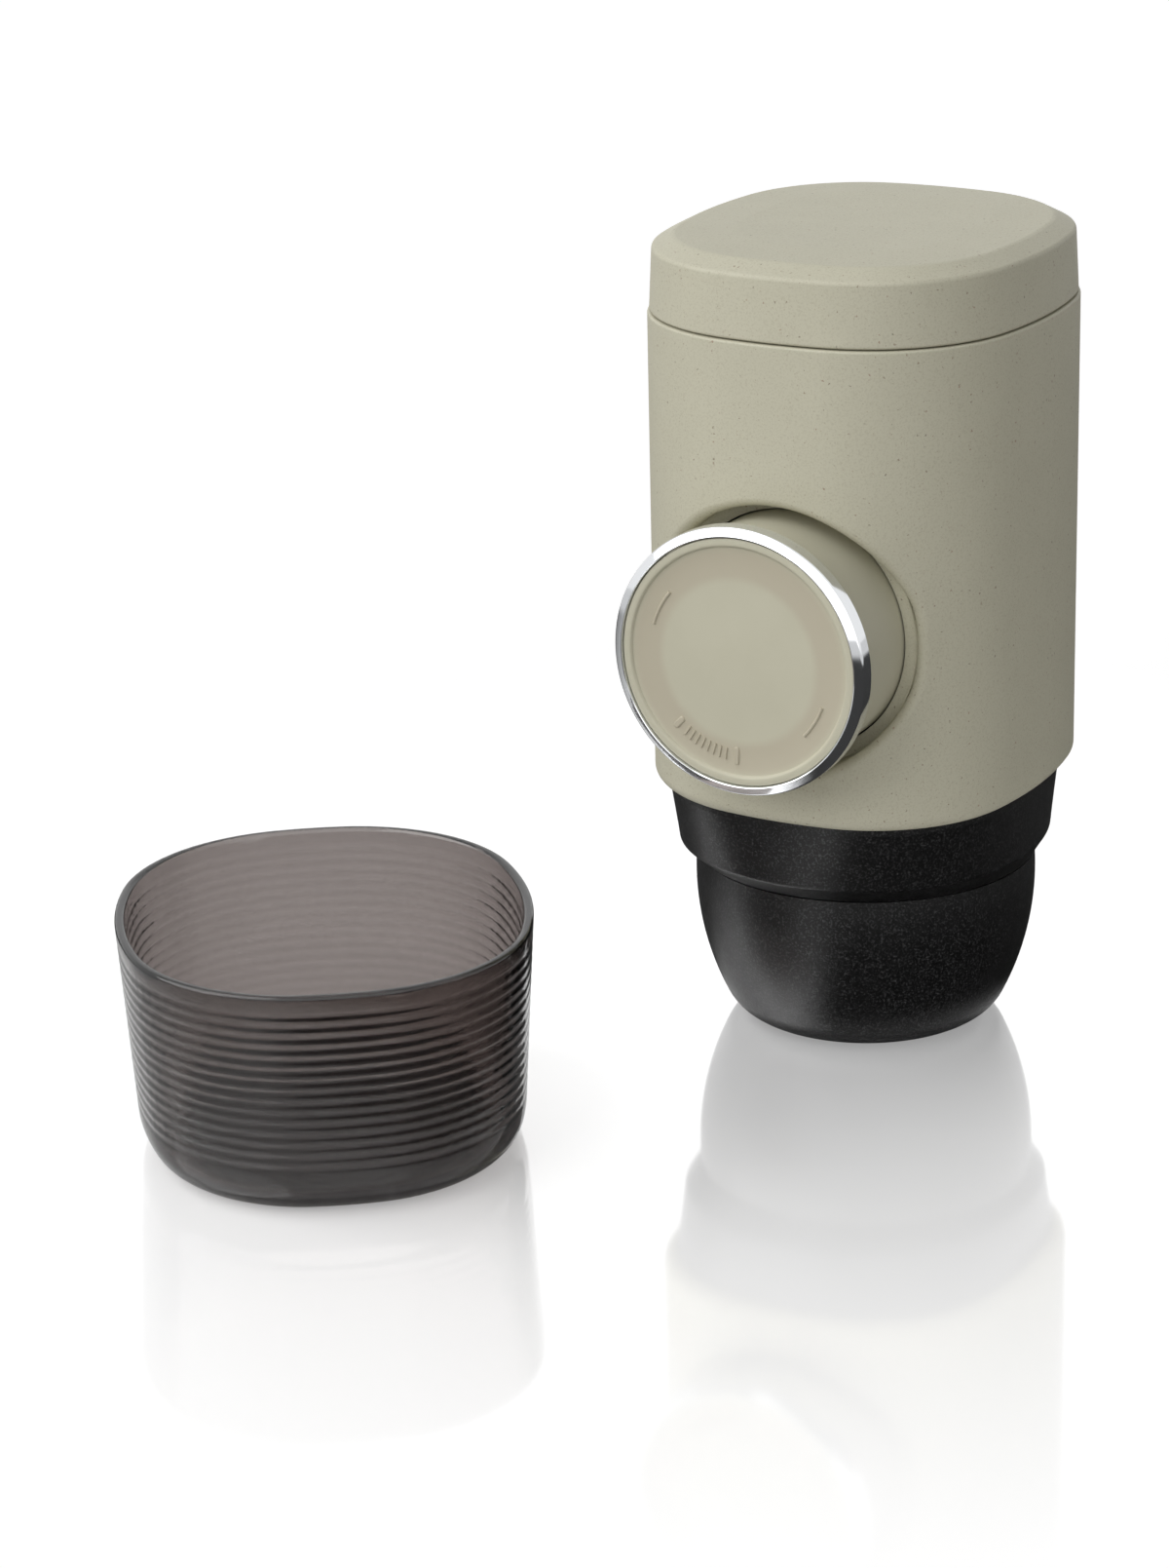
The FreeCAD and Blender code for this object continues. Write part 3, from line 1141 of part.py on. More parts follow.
# ---------------------------------------------------------------- outlet head
def draw_bowl(sketch):
    """Half the section of the outlet head: base, base arc, side arc, rim and neck."""
    base_x, base_r = s.bowl_base_radius.number, s.bowl_base_round.number
    side_r, rim_x, rim_z = s.bowl_side_radius.number, s.bowl_radius.number, bowl_rim.number
    # the side arc touches the base arc from outside and ends at the rim
    apart = math.hypot(rim_x - base_x, rim_z - base_r)
    reach = side_r - base_r
    along = (reach**2 - side_r**2 + apart**2) / (2 * apart)
    off = math.sqrt(reach**2 - along**2)
    unit_x, unit_z = (rim_x - base_x) / apart, (rim_z - base_r) / apart
    side_x = base_x + along * unit_x - off * unit_z
    side_z = base_r + along * unit_z + off * unit_x
    meet = math.atan2(base_r - side_z, base_x - side_x)
    top = math.atan2(rim_z - side_z, rim_x - side_x)
    corners = [Vector(0, 0, 0), Vector(base_x, 0, 0)]
    sketch.addGeometry(Part.LineSegment(*corners))
    base_circle = Part.Circle(Vector(base_x, base_r, 0), Vector(0, 0, 1), base_r)
    sketch.addGeometry(Part.ArcOfCircle(base_circle, -math.pi / 2, meet))
    side_circle = Part.Circle(Vector(side_x, side_z, 0), Vector(0, 0, 1), side_r)
    sketch.addGeometry(Part.ArcOfCircle(side_circle, meet, top))
    rest = [(s.bowl_radius, bowl_rim), (neck_radius, bowl_rim), (neck_radius, neck_top),
            (ZERO, neck_top)]
    places = [Vector(x.number, z.number, 0) for x, z in rest] + [Vector(0, 0, 0)]
    for start, end in zip(places, places[1:]):
        sketch.addGeometry(Part.LineSegment(start, end))
    sketch.addConstraint(Sketcher.Constraint("Tangent", 0, 2, 1, 1))
    sketch.addConstraint(Sketcher.Constraint("Tangent", 1, 2, 2, 1))
    for line in range(2, 6):
        sketch.addConstraint(Sketcher.Constraint("Coincident", line, 2, line + 1, 1))
    sketch.addConstraint(Sketcher.Constraint("Coincident", 6, 2, 0, 1))
    fix(sketch, "DistanceX", -1, 1, 0, 1, value=ZERO)
    fix(sketch, "DistanceY", -1, 1, 0, 1, value=ZERO)
    fix(sketch, "DistanceX", -1, 1, 0, 2, value=s.bowl_base_radius)
    sketch.addConstraint(Sketcher.Constraint("Horizontal", 0))
    fix(sketch, "Radius", 1, value=s.bowl_base_round)
    fix(sketch, "Radius", 2, value=s.bowl_side_radius)
    for line, (x, z) in enumerate(rest, start=3):
        fix(sketch, "DistanceX", -1, 1, line, 1, value=x)
        fix(sketch, "DistanceY", -1, 1, line, 1, value=z)


bowl = new_body("outlet_bowl")
bowl_section = new_sketch(bowl, "XZ_Plane")
draw_bowl(bowl_section)
feature(bowl, "Revolution", bowl_section, ReferenceAxis=(bowl_section, ["V_Axis"]), Angle=360.0)
inside = new_sketch(bowl, "XZ_Plane")
cavity_step = s.bowl_floor + s.bowl_base_round
draw_outline(inside, [
    (ZERO, s.bowl_floor), (s.bowl_base_radius, s.bowl_floor), (ledge_bore, cavity_step),
    (ledge_bore, ledge_top), (neck_bore, ledge_top), (neck_bore, neck_top + s.overshoot),
    (ZERO, neck_top + s.overshoot),
])
feature(bowl, "Groove", inside, ReferenceAxis=(inside, ["V_Axis"]), Angle=360.0)
pocket_circles(bowl, "XY_Plane", s.bowl_floor, s.bowl_floor, [(s.spout_radius, ZERO, ZERO)])
keep(bowl, "outlet_bowl")

spout_top = s.bowl_floor + s.spout_flange
spout_rim = s.spout_radius + s.spout_rim
spout = new_body("outlet_spout")
turn_upright(spout, [
    (s.spout_bore, s.spout_lift), (s.spout_radius - s.spout_bevel, s.spout_lift),
    (s.spout_radius, s.spout_lift + s.spout_bevel), (s.spout_radius, s.bowl_floor),
    (spout_rim, s.bowl_floor), (spout_rim, spout_top), (s.spout_bore, spout_top),
])
keep(spout, "outlet_spout")

# ---------------------------------------------------------------- capsule holder
flange_bottom = s.holder_top - s.holder_flange
rim_seat = s.holder_top - s.capsule_rim_depth
chamber_floor = rim_seat - s.capsule_depth
holder = new_body("capsule_holder")
turn_upright(holder, [
    (s.needle_circle / 2, chamber_floor - s.holder_wall),
    (s.capsule_base_radius + s.holder_wall, chamber_floor - s.holder_wall),
    (s.capsule_top_radius + s.holder_wall, flange_bottom),
    (neck_bore - s.part_clearance, flange_bottom), (neck_bore - s.part_clearance, s.holder_top),
    (s.capsule_rim_radius, s.holder_top), (s.capsule_rim_radius, rim_seat),
    (s.capsule_top_radius, rim_seat), (s.capsule_base_radius, chamber_floor),
    (s.needle_circle / 2, chamber_floor),
])
keep(holder, "capsule_holder")

needles = []
needle_plate = new_body("needle_plate")
turn_upright(needle_plate, [
    (s.spout_bore / 2, chamber_floor), (s.needle_circle + s.pin_radius * 2, chamber_floor),
    (s.needle_circle + s.pin_radius * 2, chamber_floor + s.shower_thickness),
    (s.spout_bore / 2, chamber_floor + s.shower_thickness),
])
for index in range(3):
    needle = doc.addObject("Part::Cone", f"needle_{index}")
    bind(needle, "Radius1", s.pin_radius)
    bind(needle, "Radius2", s.pin_tip)
    bind(needle, "Height", s.needle_length)
    angle = math.radians(120 * index + 90)
    bind(needle, "Placement.Base.x", s.needle_circle * math.cos(angle))
    bind(needle, "Placement.Base.y", s.needle_circle * math.sin(angle))
    bind(needle, "Placement.Base.z", chamber_floor + s.shower_thickness / 2)
    needles.append(needle)
spikes = doc.addObject("Part::MultiFuse", "holder_needles")
spikes.Shapes = [needle_plate, *needles]
keep(spikes, "holder_needles")

holder_seal = new_body("holder_seal")
turn_upright(holder_seal, [
    (ledge_bore, ledge_top), (neck_bore - s.part_clearance, ledge_top),
    (neck_bore - s.part_clearance, flange_bottom), (ledge_bore, flange_bottom),
])
keep(holder_seal, "holder_seal")

# ---------------------------------------------------------------- screws
group("collar_screws", [
    screw(f"collar_screw_{index}", x, y, collar_plate_bottom, s.collar_screw_length, "Z")
    for index, (x, y) in enumerate(screw_places)
])
group("guide_screws", [
    screw(f"guide_screw_{side}", s.ear_offset * side, front_flange_back, pump_axis,
          s.pump_screw_length, "Y")
    for side in (-1, 1)
])
group("valve_screws", [
    screw(f"valve_screw_{side}", s.block_ear_offset * side, block_front + s.block_ear_length,
          pump_axis, s.block_ear_length + s.flange_thickness, "Y")
    for side in (-1, 1)
])

# ---------------------------------------------------------------- cup
def solid_cup(name, inset, bottom, rounding):
    """The cup's outer or inner form: a leaning wall with a rounded bottom edge."""
    body = new_body(name)
    rim = new_sketch(body, "XY_Plane", s.cup_height)
    draw_plan(rim, cup_plan, inset)
    feature(body, "Pad", rim, Length=s.cup_height - bottom, Reversed=True, TaperAngle=-s.cup_taper)
    round_edges(body, rounding, level_edge(bottom))
    return body


cup_outside = solid_cup("cup_outside", ZERO, ZERO, s.cup_base_round)
cup_inside = solid_cup("cup_inside", s.cup_wall, s.cup_floor, s.cup_base_round - s.cup_wall)
cup = new_body_from(boolean("Cut", "cup_cut", cup_outside, cup_inside), "cup")
round_edges(cup, s.cup_rim_round, level_edge(s.cup_height))
cup.Placement = Placement(Vector(), Rotation(Vector(0, 0, 1), s.cup_angle.number))
bind(cup, "Placement.Rotation.Angle", s.cup_angle)
bind(cup, "Placement.Base.x", s.cup_x)
bind(cup, "Placement.Base.y", s.cup_y)
keep(cup, "cup")

# ---------------------------------------------------------------- checks and files
doc.recompute()
wrong = [thing.Name for thing in doc.Objects if "Invalid" in thing.State or "Error" in thing.State]
if wrong:
    raise RuntimeError(f"objects that failed: {wrong}")
os.makedirs("parts", exist_ok=True)
for node in nodes:
    shape = node.Shape
    if shape.isNull() or not shape.isValid() or not shape.Solids:
        raise RuntimeError(f"{node.Label} has no sound solid")
    shape.exportStep(f"parts/{node.Label}.step")
print(f"{len(nodes)} pieces")
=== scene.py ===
# %% [markdown]
# # A pocket espresso maker and its cup
# The machine is worked by hand. Its casing is moulded from a plastic that is filled with plant fibre,
# so that every surface shows small brown flecks. A round knob with a chromed ring is the handle of
# the pump. Under the casing sit a black collar and a black outlet head, and beside the machine stands
# its cup of smoked plastic with fine ribs.
# The shapes of nearly all the pieces come from the construction model, which is loaded first and never
# moved. This lesson gives them their finishes, makes the few forms that the model leaves out, and sets
# up a plain studio. One unit is one metre, so lengths are written in millimetres times MM.

# %% Load the construction model
import math

import bmesh
import bpy
from mathutils import Matrix, Vector


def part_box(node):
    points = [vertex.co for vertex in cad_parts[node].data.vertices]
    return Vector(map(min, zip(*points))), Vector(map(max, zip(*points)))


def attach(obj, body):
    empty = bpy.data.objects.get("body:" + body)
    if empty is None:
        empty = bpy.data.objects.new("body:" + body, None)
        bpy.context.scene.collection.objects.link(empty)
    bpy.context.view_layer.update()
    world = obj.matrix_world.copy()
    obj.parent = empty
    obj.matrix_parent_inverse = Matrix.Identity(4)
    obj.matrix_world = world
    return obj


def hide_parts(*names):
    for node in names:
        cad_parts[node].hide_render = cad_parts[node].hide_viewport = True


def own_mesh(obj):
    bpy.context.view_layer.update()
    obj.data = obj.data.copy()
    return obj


MM = 0.001
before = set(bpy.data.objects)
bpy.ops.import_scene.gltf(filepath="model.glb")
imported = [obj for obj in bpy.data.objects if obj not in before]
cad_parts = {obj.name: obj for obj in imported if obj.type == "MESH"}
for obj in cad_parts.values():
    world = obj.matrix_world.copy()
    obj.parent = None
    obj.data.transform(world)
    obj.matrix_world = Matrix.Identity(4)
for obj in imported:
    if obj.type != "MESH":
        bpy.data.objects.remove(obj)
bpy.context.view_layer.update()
print(f"{len(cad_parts)} pieces of the machine and its cup are loaded")

# %% [markdown]
# ## Places that the other steps share
# The pump axis runs along Y through the middle of the knob, whose front faces -Y. Its height is read
# from the box of the knob's face, so nothing here has to change when the construction model changes.

# %% The pump axis and the knob's sizes
def corners(node_name):
    """The lowest and the highest corner of a piece's box."""
    return [Vector(corner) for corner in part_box(node_name)]


knob_low, knob_high = corners("knob_face")
ring_low, ring_high = corners("knob_bezel")
cup_low, cup_high = corners("cup")
pump_axis = (knob_low.z + knob_high.z) / 2
face_radius = (knob_high.z - knob_low.z) / 2
ring_radius = (ring_high.z - ring_low.z) / 2
print(f"pump axis {pump_axis / MM:.1f} mm high, knob face {face_radius / MM:.1f} mm in radius")

# %% [markdown]
# ## The camera
# A product is often shown from a little above and to one side, with a long lens that keeps its
# uprights nearly parallel. The camera is placed on a sphere round a point between machine and cup:
# an azimuth, a pitch and a distance are easier to judge than three coordinates. A small roll stands
# in for a camera that wasn't quite level.

# %% Place the camera
AZIMUTH = 29.54
PITCH = 19.61
ROLL = -1.39
DISTANCE = 678.9 * MM
LENS = 98.81
AIM_ACROSS = -44.33 * MM
AIM_HEIGHT = 38.12 * MM

azimuth, pitch, roll = (math.radians(angle) for angle in (AZIMUTH, PITCH, ROLL))
level_right = Vector((math.cos(azimuth), math.sin(azimuth), 0))
ahead = Vector((-math.sin(azimuth) * math.cos(pitch), math.cos(azimuth) * math.cos(pitch), -math.sin(pitch)))
level_up = level_right.cross(ahead)
right = level_right * math.cos(roll) + level_up * math.sin(roll)
up = level_up * math.cos(roll) - level_right * math.sin(roll)
aim = level_right * AIM_ACROSS + Vector((0, 0, AIM_HEIGHT))

camera_data = bpy.data.cameras.new("studio_camera")
camera_data.lens = LENS
camera_data.clip_start = 10 * MM
camera = bpy.data.objects.new("studio_camera", camera_data)
bpy.context.collection.objects.link(camera)
turn = Matrix((right, up, -ahead)).transposed().to_4x4()
camera.matrix_world = Matrix.Translation(aim - ahead * DISTANCE) @ turn
bpy.context.scene.camera = camera
print(f"camera {camera.location.length / MM:.0f} mm from the machine's foot")

# %% [markdown]
# ## Helpers for materials
# A finish is a tree of shader nodes. One function adds a node together with its settings and links,
# and one turns a colour as it is seen on a screen (sRGB, written as a hex value) into the linear
# numbers that a renderer works with. Two more begin and end a material. Every pattern reads the
# piece's own coordinates in metres, so that it keeps its real scale and moves with the piece.

# %% Add a node, convert a colour, begin and end a material
AMOUNT, FIRST_COLOUR, SECOND_COLOUR = 0, 6, 7  # the Mix node's inputs when it mixes colours


def add_node(tree, kind, inputs=None, **settings):
    """Adds a node with its settings. An input is a value, a socket, or a node to link from."""
    node = tree.nodes.new(kind)
    for name, value in settings.items():
        setattr(node, name, value)
    for socket, value in (inputs or {}).items():
        if isinstance(value, bpy.types.Node):
            value = next(output for output in value.outputs if output.enabled)
        if isinstance(value, bpy.types.NodeSocket):
            tree.links.new(value, node.inputs[socket])
        else:
            node.inputs[socket].default_value = value
    return node


def linear(hex_colour):
    """An sRGB colour such as "bfbca8" as linear red, green, blue and alpha."""
    channels = [int(hex_colour[i:i + 2], 16) / 255 for i in (0, 2, 4)]
    return [c / 12.92 if c <= 0.04045 else ((c + 0.055) / 1.055) ** 2.4 for c in channels] + [1.0]


def start_material(name):
    """A new material, its tree and the socket of the piece's own coordinates."""
    material = bpy.data.materials.new(name)
    material.use_nodes = True
    material.node_tree.nodes.clear()
    print(f"material {name}")
    return material, material.node_tree, add_node(material.node_tree, "ShaderNodeTexCoord").outputs["Object"]


def finish_material(material, surface_inputs, volume=None):
    """Ends a material with its surface shader and, in a tinted plastic, what fills its volume."""
    ends = {"Surface": add_node(material.node_tree, "ShaderNodeBsdfPrincipled", surface_inputs)}
    if volume:
        ends["Volume"] = volume
    add_node(material.node_tree, "ShaderNodeOutputMaterial", ends)
    return material


# %% [markdown]
# ## Two patterns that most mouldings share
# No moulding has quite one colour: the granules mix unevenly, so the tone drifts in clouds some
# millimetres wide. And no moulding is quite smooth: the mould's skin is printed into it as a grain
# of tenths of a millimetre, which is drawn as a bump because it is too low to be modelled.

# %% Clouds of tone, and the grain of a skin
def clouded(tree, place, size, detail, first, second):
    """A colour that drifts between two, in clouds of about that size."""
    cloud = add_node(tree, "ShaderNodeTexNoise", {"Vector": place, "Scale": 1 / size, "Detail": detail})
    return add_node(tree, "ShaderNodeMix", {AMOUNT: cloud, FIRST_COLOUR: linear(first),
                    SECOND_COLOUR: linear(second)}, data_type="RGBA")


def grained(tree, place, size, detail, strength, depth):
    """A skin with grains of about that size: their noise, and the bump that raises them by a depth."""
    skin = add_node(tree, "ShaderNodeTexNoise", {"Vector": place, "Scale": 1 / size, "Detail": detail})
    bump = add_node(tree, "ShaderNodeBump", {"Height": skin, "Strength": strength, "Distance": depth})
    return skin, bump


# %% [markdown]
# ## The casing: polypropylene filled with plant fibre
# The granules of this plastic hold ground husk or wood. In the mould the fibres come to the surface
# as irregular flecks, from dust to nearly half a millimetre, most of them brown and a few reddish.
# The mould is lightly spark-eroded, which leaves a matt skin with a fine grain.
# Flecks could be scattered pieces, but they lie in the surface and have no thickness, so they are a
# pattern: a Voronoi texture has one point per cell, and every cell whose random colour passes a
# threshold shows a fleck round its point. A little noise in the coordinates makes their outlines rough.

# %% Flecks of one size
WOBBLE_GRAIN = 0.22  # size of the noise that roughens the flecks' outlines, as a share of a cell
WOBBLE_REACH = 0.55  # the span over which it pushes them, as a share of a cell
EDGE_STEEPNESS = 14.0  # a fleck fades in over one part in so many of a cell


def flecks(tree, place, cell, smallest, largest, share):
    """A mask that is 1 on flecks, one to a cell in that share of the cells, and a random tone for each."""
    wobble = add_node(tree, "ShaderNodeTexNoise", {"Vector": place, "Scale": 1 / (cell * WOBBLE_GRAIN),
                      "Detail": 1.0})
    shift = add_node(tree, "ShaderNodeVectorMath", {0: wobble.outputs["Color"], 1: (0.5, 0.5, 0.5)},
                     operation="SUBTRACT")
    push = add_node(tree, "ShaderNodeVectorMath", {0: shift, "Scale": cell * WOBBLE_REACH},
                    operation="SCALE")
    rough_place = add_node(tree, "ShaderNodeVectorMath", {0: place, 1: push}, operation="ADD")
    cells = add_node(tree, "ShaderNodeTexVoronoi", {"Vector": rough_place, "Scale": 1 / cell})
    chance = add_node(tree, "ShaderNodeSeparateColor", {"Color": cells.outputs["Color"]})
    radius = add_node(tree, "ShaderNodeMapRange", {"Value": chance.outputs["Green"],
                      "To Min": smallest / cell, "To Max": largest / cell})
    inside = add_node(tree, "ShaderNodeMath", {0: radius, 1: cells}, operation="SUBTRACT")
    soft = add_node(tree, "ShaderNodeMath", {0: inside, 1: EDGE_STEEPNESS}, operation="MULTIPLY",
                    use_clamp=True)
    present = add_node(tree, "ShaderNodeMath", {0: chance.outputs["Red"], 1: share}, operation="LESS_THAN")
    mask = add_node(tree, "ShaderNodeMath", {0: soft, 1: present}, operation="MULTIPLY")
    return mask, chance.outputs["Blue"]


# %% Fibre-filled polypropylene, moulded
# Each row: the cell, a fleck's smallest and largest radius in mm, the share of cells that hold one,
# how strongly it covers the ground, and the two colours that it lies between.
FLECKS = [
    (0.52, 0.07, 0.12, 0.5, 0.55, "8b8068", "a08a70"),
    (0.95, 0.08, 0.2, 0.42, 0.7, "6a614d", "94705a"),
]


def make_fibre_plastic():
    material, tree, place = start_material("fibre_filled_polypropylene_moulded")
    ground = clouded(tree, place, 9 * MM, 3.0, "c5c2ae", "bebba7")
    dust = add_node(tree, "ShaderNodeTexNoise", {"Vector": place, "Scale": 1 / (0.3 * MM), "Detail": 3.0})
    dusty = add_node(tree, "ShaderNodeMapRange", {"Value": dust, "From Min": 0.48, "From Max": 0.74,
                     "To Max": 0.42})
    ground = add_node(tree, "ShaderNodeMix", {AMOUNT: dusty, FIRST_COLOUR: ground,
                      SECOND_COLOUR: linear("a39d86")}, data_type="RGBA")
    for cell, smallest, largest, share, strength, first, second in FLECKS:
        mask, tone = flecks(tree, place, cell * MM, smallest * MM, largest * MM, share)
        colour = add_node(tree, "ShaderNodeMix", {AMOUNT: tone, FIRST_COLOUR: linear(first),
                          SECOND_COLOUR: linear(second)}, data_type="RGBA")
        cover = add_node(tree, "ShaderNodeMath", {0: mask, 1: strength}, operation="MULTIPLY")
        ground = add_node(tree, "ShaderNodeMix", {AMOUNT: cover, FIRST_COLOUR: ground,
                          SECOND_COLOUR: colour}, data_type="RGBA")
    skin, bump = grained(tree, place, 0.16 * MM, 2.0, 0.22, 0.03 * MM)
    rough = add_node(tree, "ShaderNodeMapRange", {"Value": skin, "To Min": 0.44, "To Max": 0.6})
    return finish_material(material, {"Base Color": ground, "Roughness": rough, "Normal": bump})


fibre_plastic = make_fibre_plastic()
print(f"flecks {FLECKS[0][1] * 2:.2f} to {FLECKS[-1][2] * 2:.2f} mm across")

# %% [markdown]
# ## The knob: plain polypropylene
# The knob's face and barrel have nearly the casing's colour but no fibre in them. The face has a sunk ring
# round its middle, and the pattern colours that ring as a warmer, darker band. It isn't a piece of its own,
# so the pattern reads the distance from the pump axis.

# %% Polypropylene, moulded
BAND_MIDDLE = 15.0 * MM
BAND_CORE, BAND_EDGE = 1.4 * MM, 3.2 * MM  # how far from its middle it is still full, and gone


def make_knob_plastic():
    material, tree, place = start_material("polypropylene_moulded_beige")
    centred = add_node(tree, "ShaderNodeMapping", {"Vector": place, "Location": (0, 0, -pump_axis),
                       "Scale": (1, 0, 1)})
    reach = add_node(tree, "ShaderNodeVectorMath", {0: centred}, operation="LENGTH")
    off_ring = add_node(tree, "ShaderNodeMath", {0: reach, 1: BAND_MIDDLE}, operation="SUBTRACT")
    apart = add_node(tree, "ShaderNodeMath", {0: off_ring}, operation="ABSOLUTE")
    band = add_node(tree, "ShaderNodeMapRange", {"Value": apart, "From Min": BAND_CORE,
                    "From Max": BAND_EDGE, "To Min": 1.0, "To Max": 0.0}, interpolation_type="SMOOTHSTEP")
    ground = clouded(tree, place, 6 * MM, 3.0, "c4c1ad", "bebba6")
    colour = add_node(tree, "ShaderNodeMix", {AMOUNT: band, FIRST_COLOUR: ground,
                      SECOND_COLOUR: linear("b9b29e")}, data_type="RGBA")
    bump = grained(tree, place, 0.14 * MM, 2.0, 0.12, 0.03 * MM)[1]
    return finish_material(material, {"Base Color": colour, "Roughness": 0.46, "Normal": bump})


knob_plastic = make_knob_plastic()

# %% [markdown]
# ## The chromed ring
# The ring is ABS plated with bright chrome. Chrome is a metal, so its colour is the colour of its
# reflection: a cool light grey. It is smooth, and a breath of polishing haze, drawn as a slow change
# of its roughness, keeps it from looking like a perfect mirror.

# %% Chrome on ABS, plated
def make_chrome():
    material, tree, place = start_material("chrome_plated")
    haze = add_node(tree, "ShaderNodeTexNoise", {"Vector": place, "Scale": 1 / (1.2 * MM), "Detail": 4.0})
    rough = add_node(tree, "ShaderNodeMapRange", {"Value": haze, "To Min": 0.045, "To Max": 0.11})
    return finish_material(material, {"Base Color": linear("e4e6e8"), "Metallic": 1.0, "Roughness": rough})


chrome = make_chrome()

# %% [markdown]
# ## Black collar and outlet head
# Both are black glass-filled nylon, moulded in a spark-eroded mould. The skin has a fine grain that catches
# the light as tiny brighter points. Besides the bump, the same noise paints these points into the colour as
# painted glints. A wider one makes some places duller and darker, where the skin is worn.

# %% Nylon, moulded with a spark-eroded grain and painted glints
def make_black_nylon():
    material, tree, place = start_material("glass_filled_nylon_moulded_black")
    skin, bump = grained(tree, place, 0.34 * MM, 3.0, 0.6, 0.05 * MM)
    wide = add_node(tree, "ShaderNodeTexNoise", {"Vector": place, "Scale": 1 / (2.4 * MM), "Detail": 3.0})
    # Painted glints: the grain's brightest points are made lighter in the colour, as if they caught the
    # light
    painted_glints = add_node(tree, "ShaderNodeMapRange", {"Value": skin, "From Min": 0.5, "From Max": 0.72})
    tone = add_node(tree, "ShaderNodeMix", {AMOUNT: painted_glints, FIRST_COLOUR: linear("040404"),
                    SECOND_COLOUR: linear("3f3f40")}, data_type="RGBA")
    worn = add_node(tree, "ShaderNodeMapRange", {"Value": wide, "From Min": 0.35, "From Max": 0.7,
                    "To Max": 0.4})
    tone = add_node(tree, "ShaderNodeMix", {AMOUNT: worn, FIRST_COLOUR: tone,
                    SECOND_COLOUR: linear("080809")}, data_type="RGBA")
    rough = add_node(tree, "ShaderNodeMapRange", {"Value": wide, "To Min": 0.31, "To Max": 0.46})
    return finish_material(material, {"Base Color": tone, "Roughness": rough, "Normal": bump})


black_nylon = make_black_nylon()

# %% [markdown]
# ## The cup: smoked copolyester
# A clear copolyester is tinted with a little black and brown. The tint sits in the volume, so thick
# places such as the base are darker than the wall: light is absorbed on its way through, by a
# density that lets about three tenths of it pass a wall of 1.5 mm.

# %% Copolyester, moulded and smoked
def make_smoked_plastic():
    material, tree = start_material("copolyester_moulded_smoked")[:2]
    tint = add_node(tree, "ShaderNodeVolumeAbsorption", {"Color": linear("a59a97"), "Density": 1150.0})
    return finish_material(material, {"Base Color": linear("f2eeec"), "Roughness": 0.05, "IOR": 1.54,
                                      "Transmission Weight": 1.0}, volume=tint)


smoked_plastic = make_smoked_plastic()

# %% [markdown]
# ## Inside: moulded parts, steel and silicone
# The inner parts show when the lid, the outlet head or the capsule holder is off. Moulded pump parts
# are plain grey acetal, whose skin shines a little. Seals are matt silicone. The tank is natural
# polypropylene, milky because light scatters just under its skin.

# %% Acetal, silicone and natural polypropylene, moulded
def make_plain_moulding(name, clouds, skin, surface_inputs):
    """A plain moulded material; clouds and skin are what clouded and grained ask for after the place."""
    material, tree, place = start_material(name)
    tone = clouded(tree, place, *clouds)
    bump = grained(tree, place, *skin)[1]
    return finish_material(material, {"Base Color": tone, "Normal": bump, **surface_inputs})


acetal = make_plain_moulding("acetal_moulded_grey", (7 * MM, 2.0, "86898b", "7c7f81"),
                             (0.5 * MM, 3.0, 0.12, 0.04 * MM), {"Roughness": 0.42})
silicone = make_plain_moulding("silicone_moulded_dark", (3 * MM, 2.0, "333230", "3f3d3a"),
                               (0.35 * MM, 3.0, 0.2, 0.05 * MM), {"Roughness": 0.68})
milky_plastic = make_plain_moulding("polypropylene_moulded_natural", (5 * MM, 3.0, "dcdcd8", "cfd0cc"),
                                    (0.6 * MM, 2.0, 0.1, 0.04 * MM), {
                                        "Roughness": 0.35, "IOR": 1.49, "Subsurface Weight": 0.35,
                                        "Subsurface Radius": (2 * MM, 2 * MM, 2 * MM)})

# %% [markdown]
# The pump cylinder and the rod are stainless steel, turned on a lathe. The tool leaves fine rings
# round the axis, so the noise is stretched across it and stays fine along it. Springs, pins, plates
# and screws are drawn or stamped, which leaves soft lines along Y. In both steels the same lines
# change the colour and the roughness.

# %% Stainless steel, turned about the pump axis
def make_turned_steel():
    material, tree, place = start_material("stainless_steel_turned")
    rings = add_node(tree, "ShaderNodeMapping", {"Vector": place, "Scale": (0.02, 1, 0.02)})
    tool, bump = grained(tree, rings, 0.12 * MM, 2.0, 0.15, 0.02 * MM)
    tone = add_node(tree, "ShaderNodeMix", {AMOUNT: tool, FIRST_COLOUR: linear("b9babb"),
                    SECOND_COLOUR: linear("d5d6d6")}, data_type="RGBA")
    rough = add_node(tree, "ShaderNodeMapRange", {"Value": tool, "To Min": 0.2, "To Max": 0.36})
    return finish_material(material, {"Base Color": tone, "Metallic": 1.0, "Roughness": rough,
                                      "Normal": bump})


turned_steel = make_turned_steel()

# %% Stainless steel, stamped or drawn
NOISE_TURN = 0.6  # turns the noise's own grid away from the lines, in radians


def make_plain_steel():
    material, tree, place = start_material("stainless_steel_stamped")
    along = add_node(tree, "ShaderNodeMapping", {"Vector": place, "Rotation": (0, 0, NOISE_TURN),
                     "Scale": (1, 0.08, 1)})
    line = add_node(tree, "ShaderNodeTexNoise", {"Vector": along, "Scale": 1 / (0.2 * MM), "Detail": 3.0})
    tone = add_node(tree, "ShaderNodeMix", {AMOUNT: line, FIRST_COLOUR: linear("a8abad"),
                    SECOND_COLOUR: linear("cdcfd0")}, data_type="RGBA")
    rough = add_node(tree, "ShaderNodeMapRange", {"Value": line, "To Min": 0.26, "To Max": 0.45})
    return finish_material(material, {"Base Color": tone, "Metallic": 1.0, "Roughness": rough})


plain_steel = make_plain_steel()

# %% [markdown]
# ## Give each piece its finish
# A piece of the construction model keeps its mesh: only the material in its object's slots changes.

